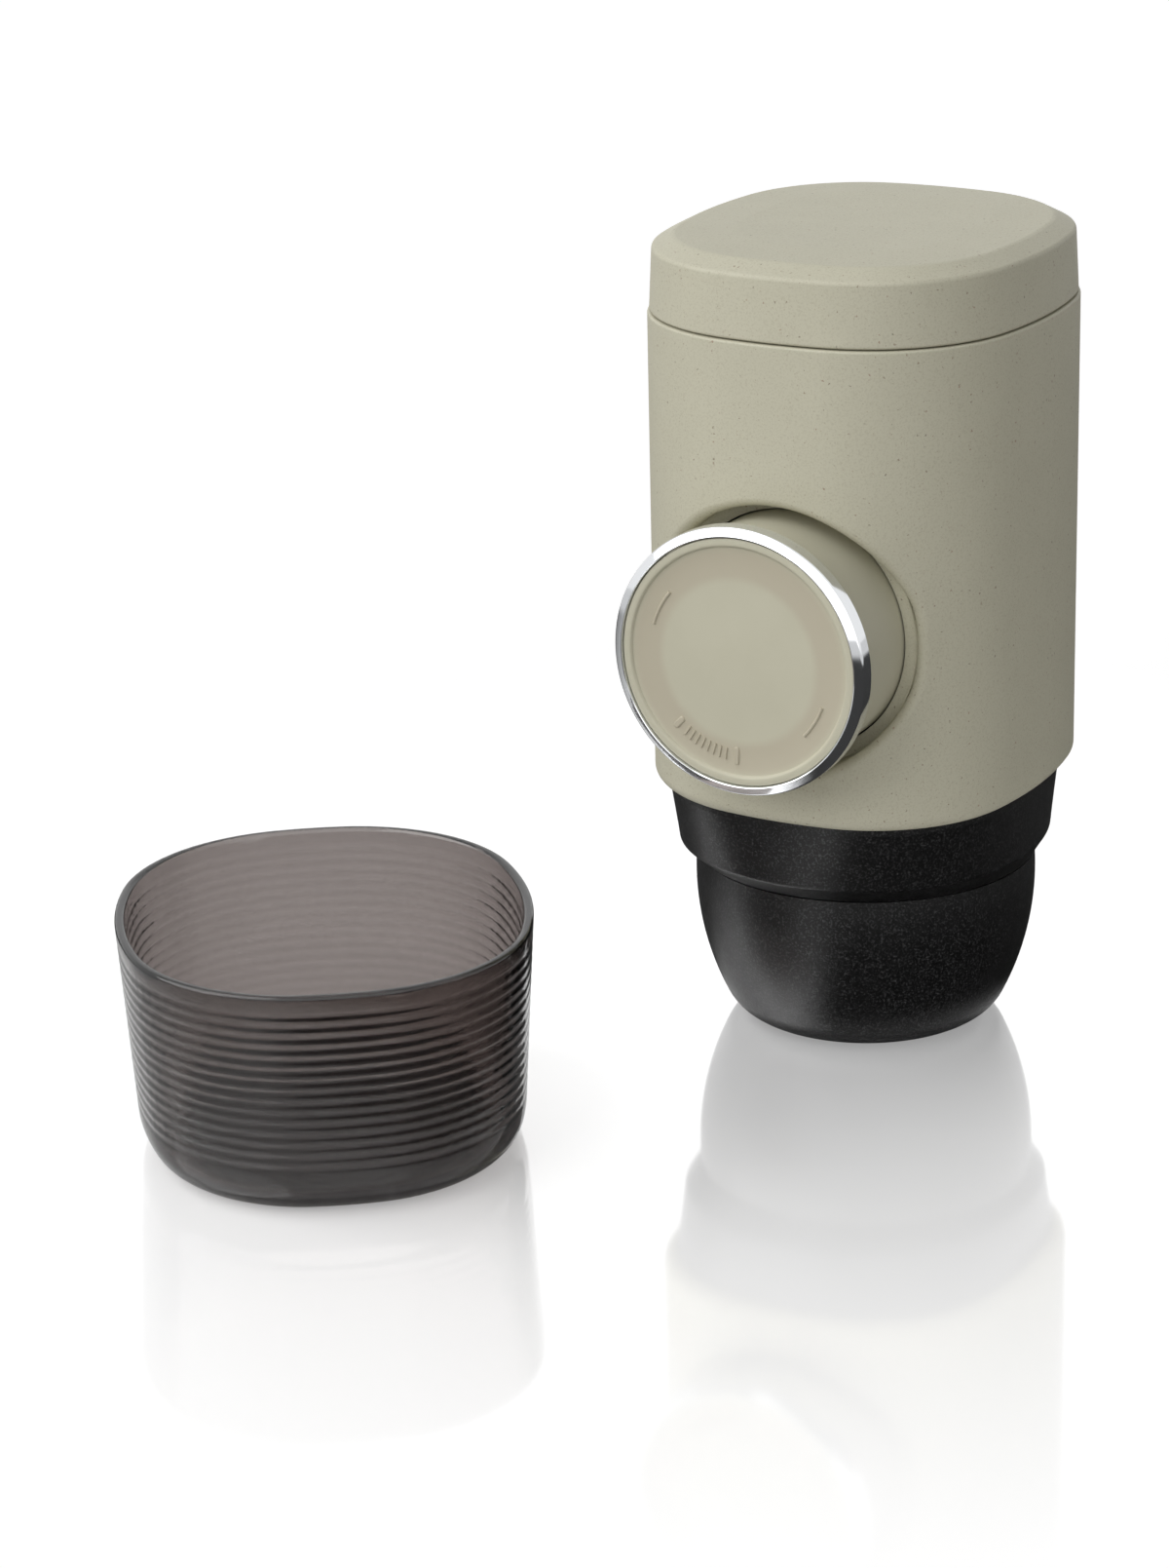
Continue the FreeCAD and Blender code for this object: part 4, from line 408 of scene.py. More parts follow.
# %% Assign the finishes
FINISHES = {
    fibre_plastic: ["body_shell", "tank_lid"],
    knob_plastic: ["knob_face", "knob_barrel"],
    chrome: ["knob_bezel"],
    black_nylon: ["base_ring", "collar", "outlet_bowl", "outlet_spout", "capsule_holder", "holder_needles"],
    acetal: ["chassis", "brew_head", "knob_guide", "valve_block", "tank_neck", "lid_plug",
             "delivery_tube", "suction_tube", "piston_head"],
    turned_steel: ["pump_cylinder", "piston_rod"],
    plain_steel: ["shower_plate", "piercing_pins", "rod_clip", "spring_washer", "return_spring",
                  "collar_screws", "guide_screws", "valve_screws"],
    silicone: ["piston_seal", "inlet_valve", "outlet_valve", "cylinder_gasket", "capsule_seal",
               "holder_seal", "lid_gasket", "vent_valve"],
    milky_plastic: ["tank_liner"],
    smoked_plastic: ["cup"],
}


def dress(piece, material):
    """Puts one material into all the slots of a piece."""
    if not piece.material_slots:
        piece.data.materials.append(material)
    for material_slot in piece.material_slots:
        material_slot.material = material


for material, names in FINISHES.items():
    for name in names:
        dress(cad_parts[name], material)
bare = set(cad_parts) - {name for names in FINISHES.values() for name in names}
print(f"{len(FINISHES)} finishes; pieces without one: {sorted(bare) or 'none'}")

# %% [markdown]
# ## Helpers for new pieces
# A piece that the construction model holds too plainly is made anew, from a copy of the model's piece
# or from nothing. A bmesh is a mesh that code can cut, turn and join. It ends as an object that stands
# at the origin with its place in its mesh, smooth except where faces meet at more than a given angle.

# %% Copy a piece, and finish one
TURNED_SHARP = 30.0  # angles past this, in degrees, stay sharp on a turned or moulded piece


def merged_copy(node_name):
    """The model's piece as a bmesh whose loose triangles are joined."""
    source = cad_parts[node_name]
    shape = bmesh.new()
    shape.from_mesh(source.data)
    shape.transform(source.matrix_world)
    bmesh.ops.remove_doubles(shape, verts=shape.verts, dist=0.002 * MM)
    return shape


def finish_piece(shape, name, material, sharp_angle=TURNED_SHARP):
    """Turns a bmesh into an object with one material, smooth up to the sharp angle."""
    shape.verts.index_update()
    faces = [[vertex.index for vertex in face.verts] for face in shape.faces]
    mesh = bpy.data.meshes.new(name)
    mesh.from_pydata([vertex.co for vertex in shape.verts], [], faces)
    shape.free()
    mesh.shade_smooth()
    mesh.set_sharp_from_angle(angle=math.radians(sharp_angle))
    mesh.materials.append(material)
    piece = bpy.data.objects.new(name, mesh)
    bpy.context.collection.objects.link(piece)
    return piece


# %% [markdown]
# ## The ribbed cup
# The cup's wall carries fine ribs that run round it, from just under the rim down to where the wall
# bends into the base. Ribs could be separate rings, but in a clear wall every hidden surface shows,
# so cup and ribs have to be one skin. The construction model gives the smooth cup. A copy of it is
# merged and cut into level rows at the flanks of every rib, and then a Geometry Nodes tree pushes in
# what lies between two ribs. The ribs' tops and the grooves stay flat and their flanks are short
# slopes, as a turned mould leaves them.

# %% A merged copy of the smooth cup, cut into rows
RIB_PITCH = 1.74 * MM
RIB_RISE = 0.1 * MM
RIB_SLOPE = 0.13  # half the width of a flank, as a share of the pitch
RIB_SHARP = 24.0
RIB_TOP = cup_high.z - 2.2 * MM
RIB_BOTTOM = cup_low.z + 7.2 * MM


def cut_rows(shape, heights):
    """Cuts level rows through the shape at those heights."""
    for height in heights:
        everything = shape.verts[:] + shape.edges[:] + shape.faces[:]
        bmesh.ops.bisect_plane(shape, geom=everything, dist=0.001 * MM, plane_co=(0, 0, height),
                               plane_no=(0, 0, 1))


cup_shape = merged_copy("cup")
rib_count = int((RIB_TOP - RIB_BOTTOM) / RIB_PITCH)
flank_shares = [middle + side * RIB_SLOPE for middle in (0.25, 0.75) for side in (-1, 0, 1)]
cut_rows(cup_shape, [RIB_TOP - (rib + share) * RIB_PITCH
                     for rib in range(rib_count) for share in flank_shares])
ribbed_cup = finish_piece(cup_shape, "ribbed_cup", smoked_plastic, RIB_SHARP)
print(f"cup cut into rows: {len(ribbed_cup.data.polygons)} faces")

# %% [markdown]
# A Geometry Nodes tree is a recipe with named inputs. Two functions begin and end every tree here:
# its instances are made real and get their material, so that the result is a plain mesh. A third
# runs a tree on a piece and keeps what it makes.

# %% Begin, end and run a geometry tree
def start_tree(name, sockets):
    """A geometry tree whose named inputs are of those kinds, and the outputs of its input node."""
    tree = bpy.data.node_groups.new(name, "GeometryNodeTree")
    tree.interface.new_socket("Geometry", in_out="INPUT", socket_type="NodeSocketGeometry")
    for socket_name, kind in sockets.items():
        tree.interface.new_socket(socket_name, in_out="INPUT", socket_type="NodeSocket" + kind)
    tree.interface.new_socket("Geometry", in_out="OUTPUT", socket_type="NodeSocketGeometry")
    return tree, add_node(tree, "NodeGroupInput").outputs


def finish_tree(tree, geometry, material):
    """Ends a tree: its instances become real geometry with that material."""
    plain = add_node(tree, "GeometryNodeRealizeInstances", {"Geometry": geometry})
    coated = add_node(tree, "GeometryNodeSetMaterial", {"Geometry": plain, "Material": material})
    add_node(tree, "NodeGroupOutput", {"Geometry": coated})
    return tree


def run_tree(piece, tree, values, sharp_angle=TURNED_SHARP):
    """Evaluates a geometry tree on a piece with those input values and keeps the result."""
    modifier = piece.modifiers.new(tree.name, "NODES")
    modifier.node_group = tree
    for item in tree.interface.items_tree:
        if item.in_out == "INPUT" and item.name in values:
            modifier[item.identifier] = values[item.name]
    evaluated = piece.evaluated_get(bpy.context.evaluated_depsgraph_get())
    mesh = bpy.data.meshes.new_from_object(evaluated)
    piece.modifiers.remove(modifier)
    mesh.shade_smooth()
    mesh.set_sharp_from_angle(angle=math.radians(sharp_angle))
    old = piece.data
    piece.data = mesh
    bpy.data.meshes.remove(old)
    mesh.name = piece.name
    return len(mesh.polygons)


# %% A tree that raises the ribs
def make_rib_tree():
    tree, given = start_tree("ribs_round_a_cup", {
        "Middle": "Vector", "Pitch": "Float", "Rise": "Float", "Top": "Float", "Bottom": "Float",
        "Material": "Material"})
    place = add_node(tree, "GeometryNodeInputPosition")
    height = add_node(tree, "ShaderNodeSeparateXYZ", {0: place}).outputs["Z"]
    normal = add_node(tree, "GeometryNodeInputNormal")
    # A point is on the outside where its level normal leads away from the cup's middle.
    level_normal = add_node(tree, "ShaderNodeVectorMath", {0: normal, 1: (1, 1, 0)}, operation="MULTIPLY")
    apart = add_node(tree, "ShaderNodeVectorMath", {0: place, 1: given["Middle"]}, operation="SUBTRACT")
    away = add_node(tree, "ShaderNodeVectorMath", {0: apart, 1: level_normal}, operation="DOT_PRODUCT")
    ribbed = 1.0
    for value, operation, limit in ((away, "GREATER_THAN", 0.0), (height, "LESS_THAN", given["Top"]),
                                    (height, "GREATER_THAN", given["Bottom"])):
        inside = add_node(tree, "ShaderNodeMath", {0: value, 1: limit}, operation=operation)
        ribbed = add_node(tree, "ShaderNodeMath", {0: ribbed, 1: inside}, operation="MULTIPLY")
    # A cosine of the height is cut off on both sides: 0 on a rib's top, -1 in a groove, sloping between.
    down = add_node(tree, "ShaderNodeMath", {0: given["Top"], 1: height}, operation="SUBTRACT")
    turns = add_node(tree, "ShaderNodeMath", {0: down, 1: given["Pitch"]}, operation="DIVIDE")
    phase = add_node(tree, "ShaderNodeMath", {0: turns, 1: math.tau}, operation="MULTIPLY")
    wave = add_node(tree, "ShaderNodeMath", {0: phase}, operation="COSINE")
    cut_off = math.sin(math.tau * RIB_SLOPE)
    steep = add_node(tree, "ShaderNodeMapRange", {"Value": wave, "From Min": -cut_off, "From Max": cut_off,
                     "To Min": -1.0, "To Max": 0.0})
    depth = add_node(tree, "ShaderNodeMath", {0: steep, 1: given["Rise"]}, operation="MULTIPLY")
    push = add_node(tree, "ShaderNodeMath", {0: depth, 1: ribbed}, operation="MULTIPLY")
    outwards = add_node(tree, "ShaderNodeVectorMath", {0: level_normal}, operation="NORMALIZE")
    offset = add_node(tree, "ShaderNodeVectorMath", {0: outwards, "Scale": push}, operation="SCALE")
    moved = add_node(tree, "GeometryNodeSetPosition", {"Geometry": given["Geometry"], "Offset": offset})
    return finish_tree(tree, moved, given["Material"])


cup_middle = (cup_low + cup_high) / 2
face_count = run_tree(ribbed_cup, make_rib_tree(), {
    "Middle": tuple(cup_middle), "Pitch": RIB_PITCH, "Rise": RIB_RISE, "Top": RIB_TOP,
    "Bottom": RIB_TOP - rib_count * RIB_PITCH, "Material": smoked_plastic}, RIB_SHARP)
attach(ribbed_cup, "cup")
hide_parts("cup")
print(f"{rib_count} ribs round the cup, {face_count} faces")

# %% [markdown]
# ## The return spring
# A steel spring pushes the pump knob out again. One end stands on the guide inside the casing and the other
# on the washer behind the knob, so it gets shorter by the whole stroke when the knob goes in. A rigid piece
# can't do that. Here a merged copy of the model's coil takes its place as a rigid piece on the machine, with
# a mesh of its own, and it keeps its length at every pose.

# %% A copy of the coil on the machine
SPRING_SHARP = 40.0

pump_spring = finish_piece(merged_copy("return_spring"), "pump_spring", plain_steel, SPRING_SHARP)
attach(pump_spring, "machine")
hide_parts("return_spring")
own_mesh(pump_spring)

# %% [markdown]
# ## The chromed ring's front
# A mirror shows every change of slope, so the ring needs a truer section than the model's plain one:
# a small bright lip where it holds the face, a cone that leans back towards the outside, and a
# rounded outer edge. It is turned from that section, as on a lathe: the section's points are copied
# round the pump axis and joined by faces. A point on the axis stays one point.

# %% Turn a closed section about the pump axis
TURN_STEPS = 160


def turned(name, section, material):
    """A piece from a closed section of (radius, y) points, turned about the pump axis."""
    shape = bmesh.new()
    rows = []
    for step in range(TURN_STEPS):
        angle = math.tau * step / TURN_STEPS
        row = []
        for index, (radius, y) in enumerate(section):
            if radius == 0.0 and rows:
                row.append(rows[0][index])
            else:
                across, upwards = radius * math.cos(angle), radius * math.sin(angle)
                row.append(shape.verts.new((across, y, pump_axis + upwards)))
        rows.append(row)
    for row, following in zip(rows, rows[1:] + rows[:1]):
        for index in range(len(section)):
            after = (index + 1) % len(section)
            around = list(dict.fromkeys((row[index], row[after], following[after], following[index])))
            if len(around) > 2:
                shape.faces.new(around)
    bmesh.ops.recalc_face_normals(shape, faces=shape.faces)
    return finish_piece(shape, name, material)


# %% A ring with a lip, a cone and a round edge
RING_LIP = [(0.1, 0.18), (0.16, 0.05), (0.3, 0.0)]  # mm out from the face's edge and back from the front
EDGE_ROUND = 0.5 * MM
EDGE_DROP = 0.95 * MM  # from the front back to the middle of the edge's round
EDGE_STEPS = 6
EDGE_START, EDGE_END = 25.0, 90.0  # the round begins where the cone meets it
BACK_CHAMFER_OUT, BACK_CHAMFER_ALONG = 0.3 * MM, 0.4 * MM

ring_front, ring_back = ring_low.y, ring_high.y
lip = [(face_radius + out * MM, ring_front + down * MM) for out, down in RING_LIP]
edge = []
for step in range(EDGE_STEPS + 1):
    angle = math.radians(EDGE_START + (EDGE_END - EDGE_START) * step / EDGE_STEPS)
    edge.append((ring_radius - EDGE_ROUND + EDGE_ROUND * math.sin(angle),
                 ring_front + EDGE_DROP - EDGE_ROUND * math.cos(angle)))
ring_rear = [(ring_radius, ring_back - BACK_CHAMFER_ALONG), (ring_radius - BACK_CHAMFER_OUT, ring_back)]
chromed_ring = turned("chromed_ring", [(lip[0][0], ring_back)] + lip + edge + ring_rear, chrome)
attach(chromed_ring, "knob")
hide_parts("knob_bezel")
print(f"chromed ring of {ring_radius / MM:.1f} mm radius, {(ring_back - ring_front) / MM:.1f} mm deep")

# %% [markdown]
# ## The knob's cap
# The cap is a disc with a raised rim and a sunk ring for the marks. Its middle is a shallow dome that
# runs out into the ring without an edge, which the model has as a plain step. It is turned from its
# section in the same way, and half a cosine gives the dome a level top and a level foot.

# %% A cap with a shallow dome
RING_SINK = 0.8 * MM  # from the chromed ring's front back to the floor of the sunk ring
DOME_RADIUS, DOME_RISE, DOME_STEPS = 13.6 * MM, 0.3 * MM, 12
RIM_FOOT = 17.3 * MM
RIM_START = (0.25, 0.06)  # mm out from that foot, and mm up from the ring's floor
RIM_SIDE = [(0.45, 0.1), (0.6, 0.01), (0.8, 0.0)]  # mm out from that foot, and mm below the rim's top
RIM_EDGE = [(0.3, 0.0), (0.08, 0.08), (0.0, 0.3)]  # mm in from the side, and mm below the rim's top

ring_floor = ring_front + RING_SINK
rim_top, cap_back = knob_low.y, knob_high.y
cap_section = [(0.0, cap_back), (0.0, ring_floor - DOME_RISE)]
for step in range(1, DOME_STEPS + 1):
    share = step / DOME_STEPS
    rise = DOME_RISE / 2 * (1 + math.cos(math.pi * share))
    cap_section.append((DOME_RADIUS * share, ring_floor - rise))
cap_section += [(RIM_FOOT, ring_floor), (RIM_FOOT + RIM_START[0] * MM, ring_floor - RIM_START[1] * MM)]
cap_section += [(RIM_FOOT + out * MM, rim_top + down * MM) for out, down in RIM_SIDE]
cap_section += [(face_radius - inwards * MM, rim_top + down * MM) for inwards, down in RIM_EDGE]
cap_section.append((face_radius, cap_back))
knob_cap = turned("knob_cap", cap_section, knob_plastic)
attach(knob_cap, "knob")
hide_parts("knob_face")
print(f"knob cap: dome of {DOME_RISE / MM:.1f} mm, ring floor at y {ring_floor / MM:.2f} mm")

# %% [markdown]
# ## The lining of the knob's opening
# Round the barrel the casing's opening is closed by a lining of the casing's own plastic, so that no
# dark gap shows: a shallow dish that lies on the grey guide and rises towards the opening's wall. It
# is thin and round, so it is turned as well.

# %% A dished lining round the barrel
LINING_BACK = 0.02 * MM  # it reaches this far behind the guide's front
LINING_DISH = [(18.86, 0.14), (19.0, 0.2), (19.6, 0.22), (20.2, 0.3), (20.6, 0.42), (20.88, 0.6)]

guide_front = corners("knob_guide")[0].y
dish = [(radius * MM, guide_front - rise * MM) for radius, rise in LINING_DISH]
lining_back = guide_front + LINING_BACK
opening_lining = turned("opening_lining", [(dish[0][0], lining_back)] + dish + [(dish[-1][0], lining_back)],
                        fibre_plastic)
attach(opening_lining, "machine")
print(f"the opening is lined from {LINING_DISH[0][0]} to {LINING_DISH[-1][0]} mm")

# %% [markdown]
# ## Marks on the knob
# The sunk ring of the knob shows how far it turns: a row of short ticks between a pill and a bar, and
# two thin arcs that close the circle. They are moulded as low ridges. Each mark is a rounded bar,
# and a Geometry Nodes tree sets such a bar on a row of points along an arc and turns it to point at
# the axis.

# %% One rounded bar, lying on the ring
MARK_RADIUS = 14.6 * MM
MARK_RISE = 0.24 * MM
BAR_END_STEPS = 6
BAR_LEVELS = [(1.0, 0.0), (0.92, 0.6), (0.62, 1.0)]  # share of the width at a share of the height


def rounded_bar(name, width, length):
    """A low bar with round ends and bevelled top, along X, standing on the plane y = 0 towards -Y."""
    shape = bmesh.new()
    half = (length - width) / 2
    outline = []
    for side, start in ((1, -90), (-1, 90)):
        for step in range(BAR_END_STEPS + 1):
            angle = math.radians(start + 180 * step / BAR_END_STEPS)
            outline.append((side * half, math.cos(angle) * width / 2, math.sin(angle) * width / 2))
    rows = [[shape.verts.new((core + x * share, -height * MARK_RISE, z * share)) for core, x, z in outline]
            for share, height in BAR_LEVELS]
    for low, high in zip(rows, rows[1:]):
        for index in range(len(low)):
            after = (index + 1) % len(low)
            shape.faces.new((low[index], low[after], high[after], high[index]))
    shape.faces.new(rows[-1])
    shape.faces.new(list(reversed(rows[0])))
    bmesh.ops.recalc_face_normals(shape, faces=shape.faces)
    return finish_piece(shape, name, knob_plastic)


# %% A tree that repeats a bar along an arc
def make_mark_tree():
    tree, given = start_tree("marks_round_a_knob", {
        "Bar": "Object", "Count": "Int", "Radius": "Float", "First Angle": "Float", "Last Angle": "Float",
        "Centre": "Vector", "Material": "Material"})
    points = add_node(tree, "GeometryNodePoints", {"Count": given["Count"]})
    index = add_node(tree, "GeometryNodeInputIndex")
    last = add_node(tree, "ShaderNodeMath", {0: given["Count"], 1: 1.0}, operation="SUBTRACT")
    last = add_node(tree, "ShaderNodeMath", {0: last, 1: 1.0}, operation="MAXIMUM")
    share = add_node(tree, "ShaderNodeMath", {0: index, 1: last}, operation="DIVIDE")
    span = add_node(tree, "ShaderNodeMath", {0: given["Last Angle"], 1: given["First Angle"]},
                    operation="SUBTRACT")
    turn = add_node(tree, "ShaderNodeMath", {0: share, 1: span}, operation="MULTIPLY")
    angle = add_node(tree, "ShaderNodeMath", {0: given["First Angle"], 1: turn}, operation="ADD")
    across = add_node(tree, "ShaderNodeMath", {0: angle}, operation="COSINE")
    upwards = add_node(tree, "ShaderNodeMath", {0: angle}, operation="SINE")
    spoke = add_node(tree, "ShaderNodeCombineXYZ", {"X": across, "Z": upwards})
    reach = add_node(tree, "ShaderNodeVectorMath", {0: spoke, "Scale": given["Radius"]}, operation="SCALE")
    spot = add_node(tree, "ShaderNodeVectorMath", {0: reach, 1: given["Centre"]}, operation="ADD")
    placed = add_node(tree, "GeometryNodeSetPosition", {"Geometry": points, "Position": spot})
    # A turn about Y leads from X towards -Z, so the bar turns by the angle taken negative.
    back = add_node(tree, "ShaderNodeMath", {0: angle, 1: -1.0}, operation="MULTIPLY")
    turned_back = add_node(tree, "ShaderNodeCombineXYZ", {"Y": back})
    rotation = add_node(tree, "FunctionNodeEulerToRotation", {0: turned_back})
    bar = add_node(tree, "GeometryNodeObjectInfo", {"Object": given["Bar"], "As Instance": True})
    copies = add_node(tree, "GeometryNodeInstanceOnPoints", {
        "Points": placed, "Instance": bar.outputs["Geometry"], "Rotation": rotation})
    return finish_tree(tree, copies, given["Material"])


mark_tree = make_mark_tree()
print(f"mark tree of {len(mark_tree.nodes)} nodes")

# %% Ticks, pill and bar
# Each kind: how many, the width and length of one, and the angles of the first and the last, in
# degrees from the knob's right side upwards.
MARKS = {
    "knob_ticks": (8, 0.32 * MM, 1.9 * MM, -126.0, -98.5),
    "knob_pill": (1, 1.0 * MM, 2.3 * MM, -133.0, -133.0),
    "knob_bar": (1, 0.85 * MM, 2.9 * MM, -91.5, -91.5),
}
for name, (number, width, length, first, last) in MARKS.items():
    bar = rounded_bar(name + "_form", width, length)
    marks = bpy.data.objects.new(name, bpy.data.meshes.new(name))
    bpy.context.collection.objects.link(marks)
    run_tree(marks, mark_tree, {
        "Bar": bar, "Count": number, "Radius": MARK_RADIUS, "First Angle": math.radians(first),
        "Last Angle": math.radians(last), "Centre": (0.0, ring_floor, pump_axis), "Material": knob_plastic})
    bpy.data.objects.remove(bar)
    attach(marks, "knob")
    print(f"{name}: {number} of {length / MM:.1f} x {width / MM:.2f} mm")

# %% [markdown]
# The two arcs follow the ring, so they are made as a curve with a small round section: a curve keeps
# its thickness even round the bend, and its ends are closed by its caps.

# %% Two arcs on the ring
ARC_WIDTH = 0.56 * MM
ARC_STEPS = 12
ARCS = {"knob_arc_left": (140.0, 163.5), "knob_arc_right": (-20.3, -42.5)}


def arc_ridge(name, first, last):
    """A thin ridge along the ring between two angles."""
    curve = bpy.data.curves.new(name, "CURVE")
    curve.dimensions = "3D"
    curve.bevel_depth = ARC_WIDTH / 2
    curve.bevel_resolution = 2
    curve.use_fill_caps = True
    spline = curve.splines.new("POLY")
    spline.points.add(ARC_STEPS)
    for step, point in enumerate(spline.points):
        angle = math.radians(first + (last - first) * step / ARC_STEPS)
        point.co = (MARK_RADIUS * math.cos(angle), ring_floor, pump_axis + MARK_RADIUS * math.sin(angle), 1)
    wire = bpy.data.objects.new(name + "_wire", curve)
    bpy.context.collection.objects.link(wire)
    mesh = bpy.data.meshes.new_from_object(wire.evaluated_get(bpy.context.evaluated_depsgraph_get()))
    bpy.data.objects.remove(wire)
    mesh.name = name
    mesh.materials.clear()
    mesh.materials.append(knob_plastic)
    mesh.shade_smooth()
    ridge = bpy.data.objects.new(name, mesh)
    bpy.context.collection.objects.link(ridge)
    return ridge


for name, (first, last) in ARCS.items():
    ridge = arc_ridge(name, first, last)
    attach(ridge, "knob")
print(f"{len(ARCS)} arcs on the knob's ring")

# %% [markdown]
# ## The table
# The studio is a white table. Its top is slightly glossy near the object, so that the machine and the
# cup mirror in it, and it keeps their soft shadows. It is lacquered in the colour of the backdrop, and
# the camera sees it a little brighter than it lights the object. For the light that it throws on the
# object it is a plain pale grey.

# %% The table top
FLOOR_HALF = 2.5
POLISH_START, POLISH_END = 25 * MM, 180 * MM
POLISH_NEAR, POLISH_FAR = 0.7, 0.02
CAMERA_LIFT = 0.3


def make_floor():
    material, tree, place = start_material("lacquered_table_white")
    path = add_node(tree, "ShaderNodeLightPath")
    tone = add_node(tree, "ShaderNodeMix", {AMOUNT: path.outputs["Is Diffuse Ray"],
                    FIRST_COLOUR: linear("fbfbfb"), SECOND_COLOUR: linear("b4b2ae")}, data_type="RGBA")
    paint = add_node(tree, "ShaderNodeBsdfPrincipled", {"Base Color": tone, "Roughness": 0.9,
                     "Specular IOR Level": 0.0})
    shine = add_node(tree, "ShaderNodeBsdfGlossy", {"Color": linear("ffffff"), "Roughness": 0.07})
    from_foot = add_node(tree, "ShaderNodeVectorMath", {0: place}, operation="LENGTH")
    polish = add_node(tree, "ShaderNodeMapRange", {"Value": from_foot, "From Min": POLISH_START,
                      "From Max": POLISH_END, "To Min": POLISH_NEAR, "To Max": POLISH_FAR})
    polished = add_node(tree, "ShaderNodeMixShader", {0: polish, 1: paint, 2: shine})
    lift = add_node(tree, "ShaderNodeMath", {0: path.outputs["Is Camera Ray"], 1: CAMERA_LIFT},
                    operation="MULTIPLY")
    glow = add_node(tree, "ShaderNodeEmission", {"Color": linear("ffffff"), "Strength": lift})
    whole = add_node(tree, "ShaderNodeAddShader", {0: polished, 1: glow})
    add_node(tree, "ShaderNodeOutputMaterial", {"Surface": whole})

    mesh = bpy.data.meshes.new("studio_floor")
    outline = [(x * FLOOR_HALF, y * FLOOR_HALF, 0) for x, y in ((-1, -1), (1, -1), (1, 1), (-1, 1))]
    mesh.from_pydata(outline, [], [(0, 1, 2, 3)])
    mesh.materials.append(material)
    floor = bpy.data.objects.new("studio_floor", mesh)
    bpy.context.collection.objects.link(floor)
    return floor


floor = make_floor()
print(f"a table top {FLOOR_HALF * 2:.0f} m wide")

# %% [markdown]
# ## A dark card on the table
# Bright metal looks like metal, and black plastic black, only when they have something dark to mirror.
# A studio lays dark cards on the table for that, all round the object except at its front left, where
# the light comes from. The card is out of the picture: only reflections see it, and only from above,
# so the table's own shine passes through it. It fades out at its borders, so that the reflections
# have no hard edge.

# %% A dark card for the reflections
CARD_INNER, CARD_OUTER = 20 * MM, 620 * MM
CARD_INNER_FADE = 8 * MM
CARD_OUTER_FADE = 0.7  # the card begins to fade out at this share of its outer radius
CARD_HEIGHT = 0.4 * MM
CARD_STEPS = 96
WINDOW_FIRST, WINDOW_WIDTH, WINDOW_FADE = -62.0, 50.0, 24.0


def make_card_material():
    material, tree, place = start_material("card_black_faded")
    black = add_node(tree, "ShaderNodeBsdfPrincipled", {"Base Color": linear("4a4a4a"), "Roughness": 1.0,
                     "Specular IOR Level": 0.0})
    parts = add_node(tree, "ShaderNodeSeparateXYZ", {0: place})
    to_front = add_node(tree, "ShaderNodeMath", {0: parts.outputs["Y"], 1: -1.0}, operation="MULTIPLY")
    angle = add_node(tree, "ShaderNodeMath", {0: parts.outputs["X"], 1: to_front}, operation="ARCTAN2")
    past_window = add_node(tree, "ShaderNodeMath", {0: angle, 1: math.radians(WINDOW_FIRST + WINDOW_WIDTH)},
                           operation="SUBTRACT")
    past_window = add_node(tree, "ShaderNodeMath", {0: past_window, 1: math.tau}, operation="FLOORED_MODULO")
    reach = add_node(tree, "ShaderNodeVectorMath", {0: place}, operation="LENGTH")
    last = math.tau - math.radians(WINDOW_WIDTH)
    fade = math.radians(WINDOW_FADE)
    cover = 1.0
    for value, clear_at, dark_at in ((past_window, 0.0, fade), (past_window, last, last - fade),
                                     (reach, CARD_INNER, CARD_INNER + CARD_INNER_FADE),
                                     (reach, CARD_OUTER, CARD_OUTER_FADE * CARD_OUTER)):
        border = add_node(tree, "ShaderNodeMapRange", {"Value": value, "From Min": clear_at,
                          "From Max": dark_at}, interpolation_type="SMOOTHSTEP")
        cover = add_node(tree, "ShaderNodeMath", {0: cover, 1: border}, operation="MULTIPLY")
    from_below = add_node(tree, "ShaderNodeNewGeometry").outputs["Backfacing"]
    from_above = add_node(tree, "ShaderNodeMath", {0: 1.0, 1: from_below}, operation="SUBTRACT")
    cover = add_node(tree, "ShaderNodeMath", {0: cover, 1: from_above}, operation="MULTIPLY")
    clear = add_node(tree, "ShaderNodeBsdfTransparent")
    faded = add_node(tree, "ShaderNodeMixShader", {0: cover, 1: clear, 2: black})
    add_node(tree, "ShaderNodeOutputMaterial", {"Surface": faded})
    return material


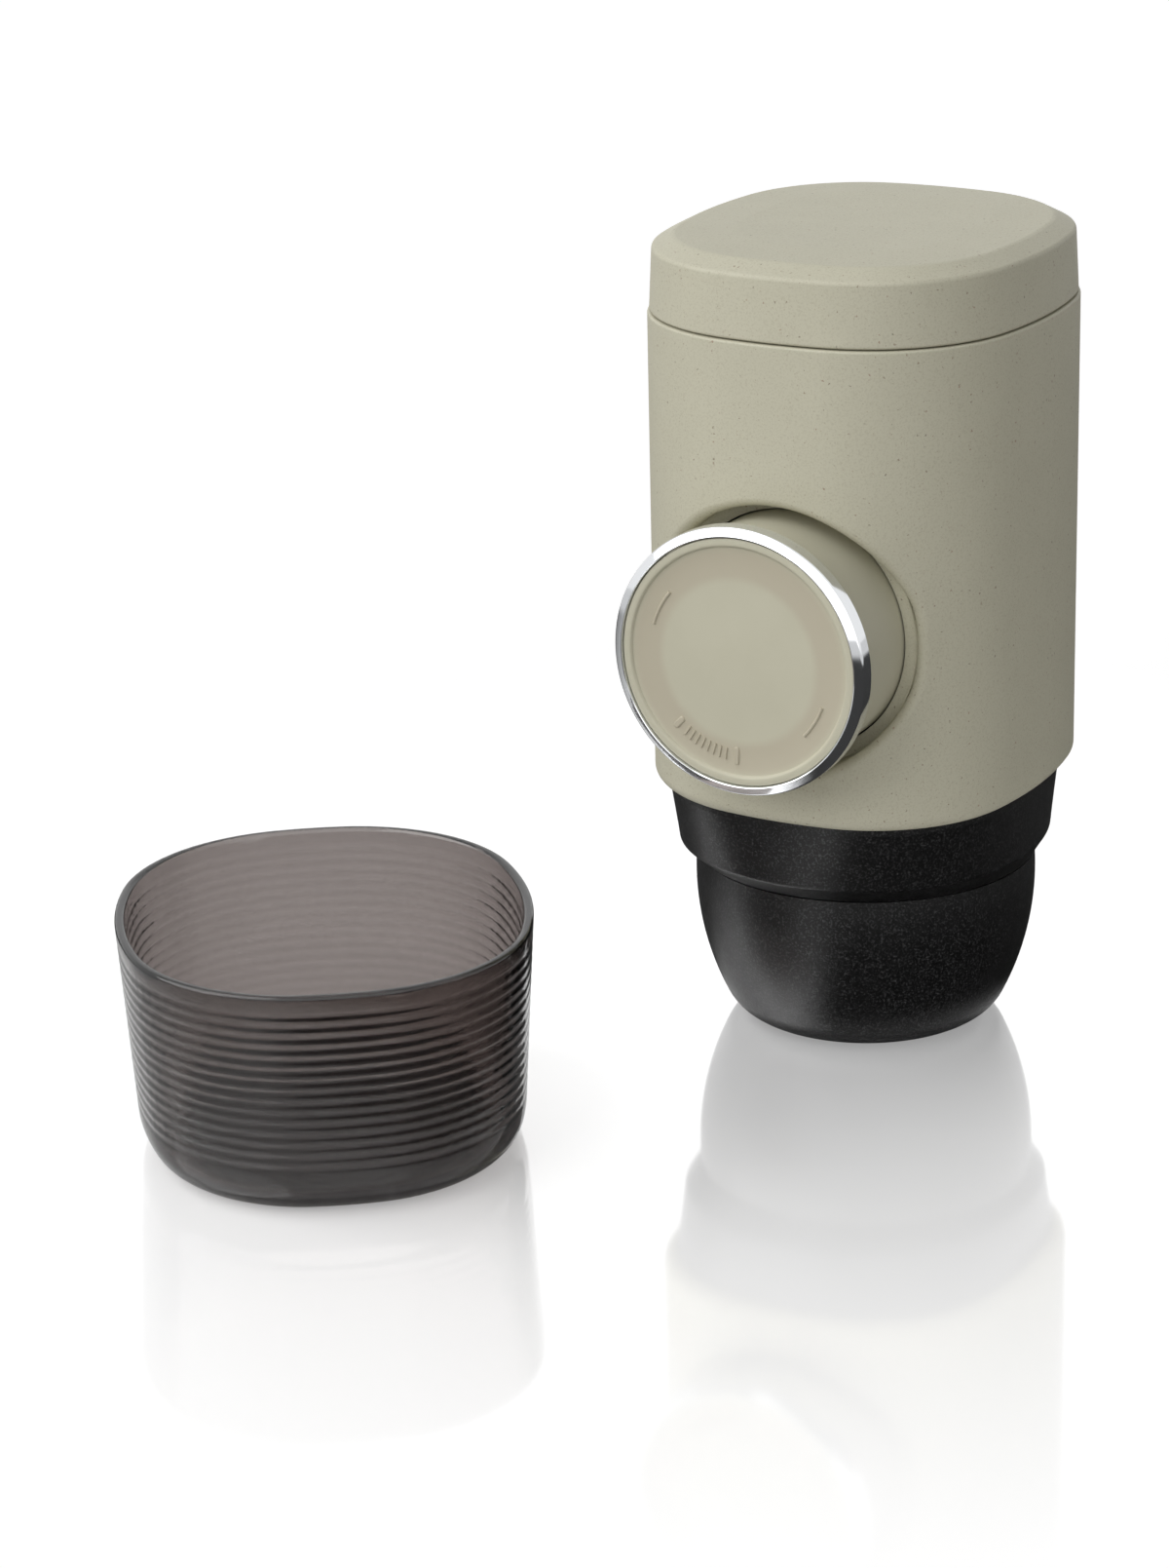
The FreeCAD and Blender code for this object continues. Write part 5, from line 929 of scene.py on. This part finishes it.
def make_card():
    """A flat ring on the table; its angles run from the knob's side (-Y) towards +X."""
    shape = bmesh.new()
    rows = []
    for step in range(CARD_STEPS):
        angle = math.tau * step / CARD_STEPS
        rows.append([shape.verts.new((radius * math.sin(angle), -radius * math.cos(angle), CARD_HEIGHT))
                     for radius in (CARD_INNER, CARD_OUTER)])
    for row, following in zip(rows, rows[1:] + rows[:1]):
        shape.faces.new((row[0], row[1], following[1], following[0]))
    card = finish_piece(shape, "studio_dark_card", make_card_material())
    for kind in ("camera", "diffuse", "transmission", "volume_scatter", "shadow"):
        setattr(card, "visible_" + kind, False)
    return card


dark_card = make_card()
print(f"a dark card with a window of {WINDOW_WIDTH:.0f} degrees")

# %% [markdown]
# ## The light
# The world gives a weak, even light to the pieces, and shows plain white where the camera, a mirror
# or a clear wall looks into it. A large soft lamp from the upper left models the forms, and a weaker
# one from the right keeps the far side readable. Distant lamps are used because their light doesn't
# change with the size of the object.

# %% The world
WORLD_FILL = 0.22


def make_world():
    world = bpy.data.worlds.new("white_studio")
    world.use_nodes = True
    tree = world.node_tree
    tree.nodes.clear()
    path = add_node(tree, "ShaderNodeLightPath").outputs
    seen = add_node(tree, "ShaderNodeMath", {0: path["Is Camera Ray"], 1: path["Is Glossy Ray"]},
                    operation="MAXIMUM")
    seen = add_node(tree, "ShaderNodeMath", {0: seen, 1: path["Is Transmission Ray"]}, operation="MAXIMUM")
    strength = add_node(tree, "ShaderNodeMapRange", {"Value": seen, "To Min": WORLD_FILL, "To Max": 1.0})
    light = add_node(tree, "ShaderNodeBackground", {"Color": linear("ffffff"), "Strength": strength})
    add_node(tree, "ShaderNodeOutputWorld", {"Surface": light})
    bpy.context.scene.world = world


make_world()
print(f"world fill {WORLD_FILL}")

# %% The lamps
# Each lamp: the direction from the object to it, its strength, and how wide it looks, in degrees.
LAMPS = {
    "softbox_left": ((-0.74, -0.85, 0.92), 2.15, 70),
    "softbox_front": ((0.52, -0.88, 0.42), 0.68, 70),
}
for name, (towards, strength, spread) in LAMPS.items():
    lamp = bpy.data.lights.new(name, "SUN")
    lamp.energy = strength
    lamp.angle = math.radians(spread)
    holder = bpy.data.objects.new(name, lamp)
    bpy.context.collection.objects.link(holder)
    holder.rotation_euler = Vector(towards).to_track_quat("Z", "Y").to_euler()
print(f"{len(LAMPS)} lamps")

# %% Show colours as they are written
bpy.context.scene.view_settings.view_transform = "Standard"
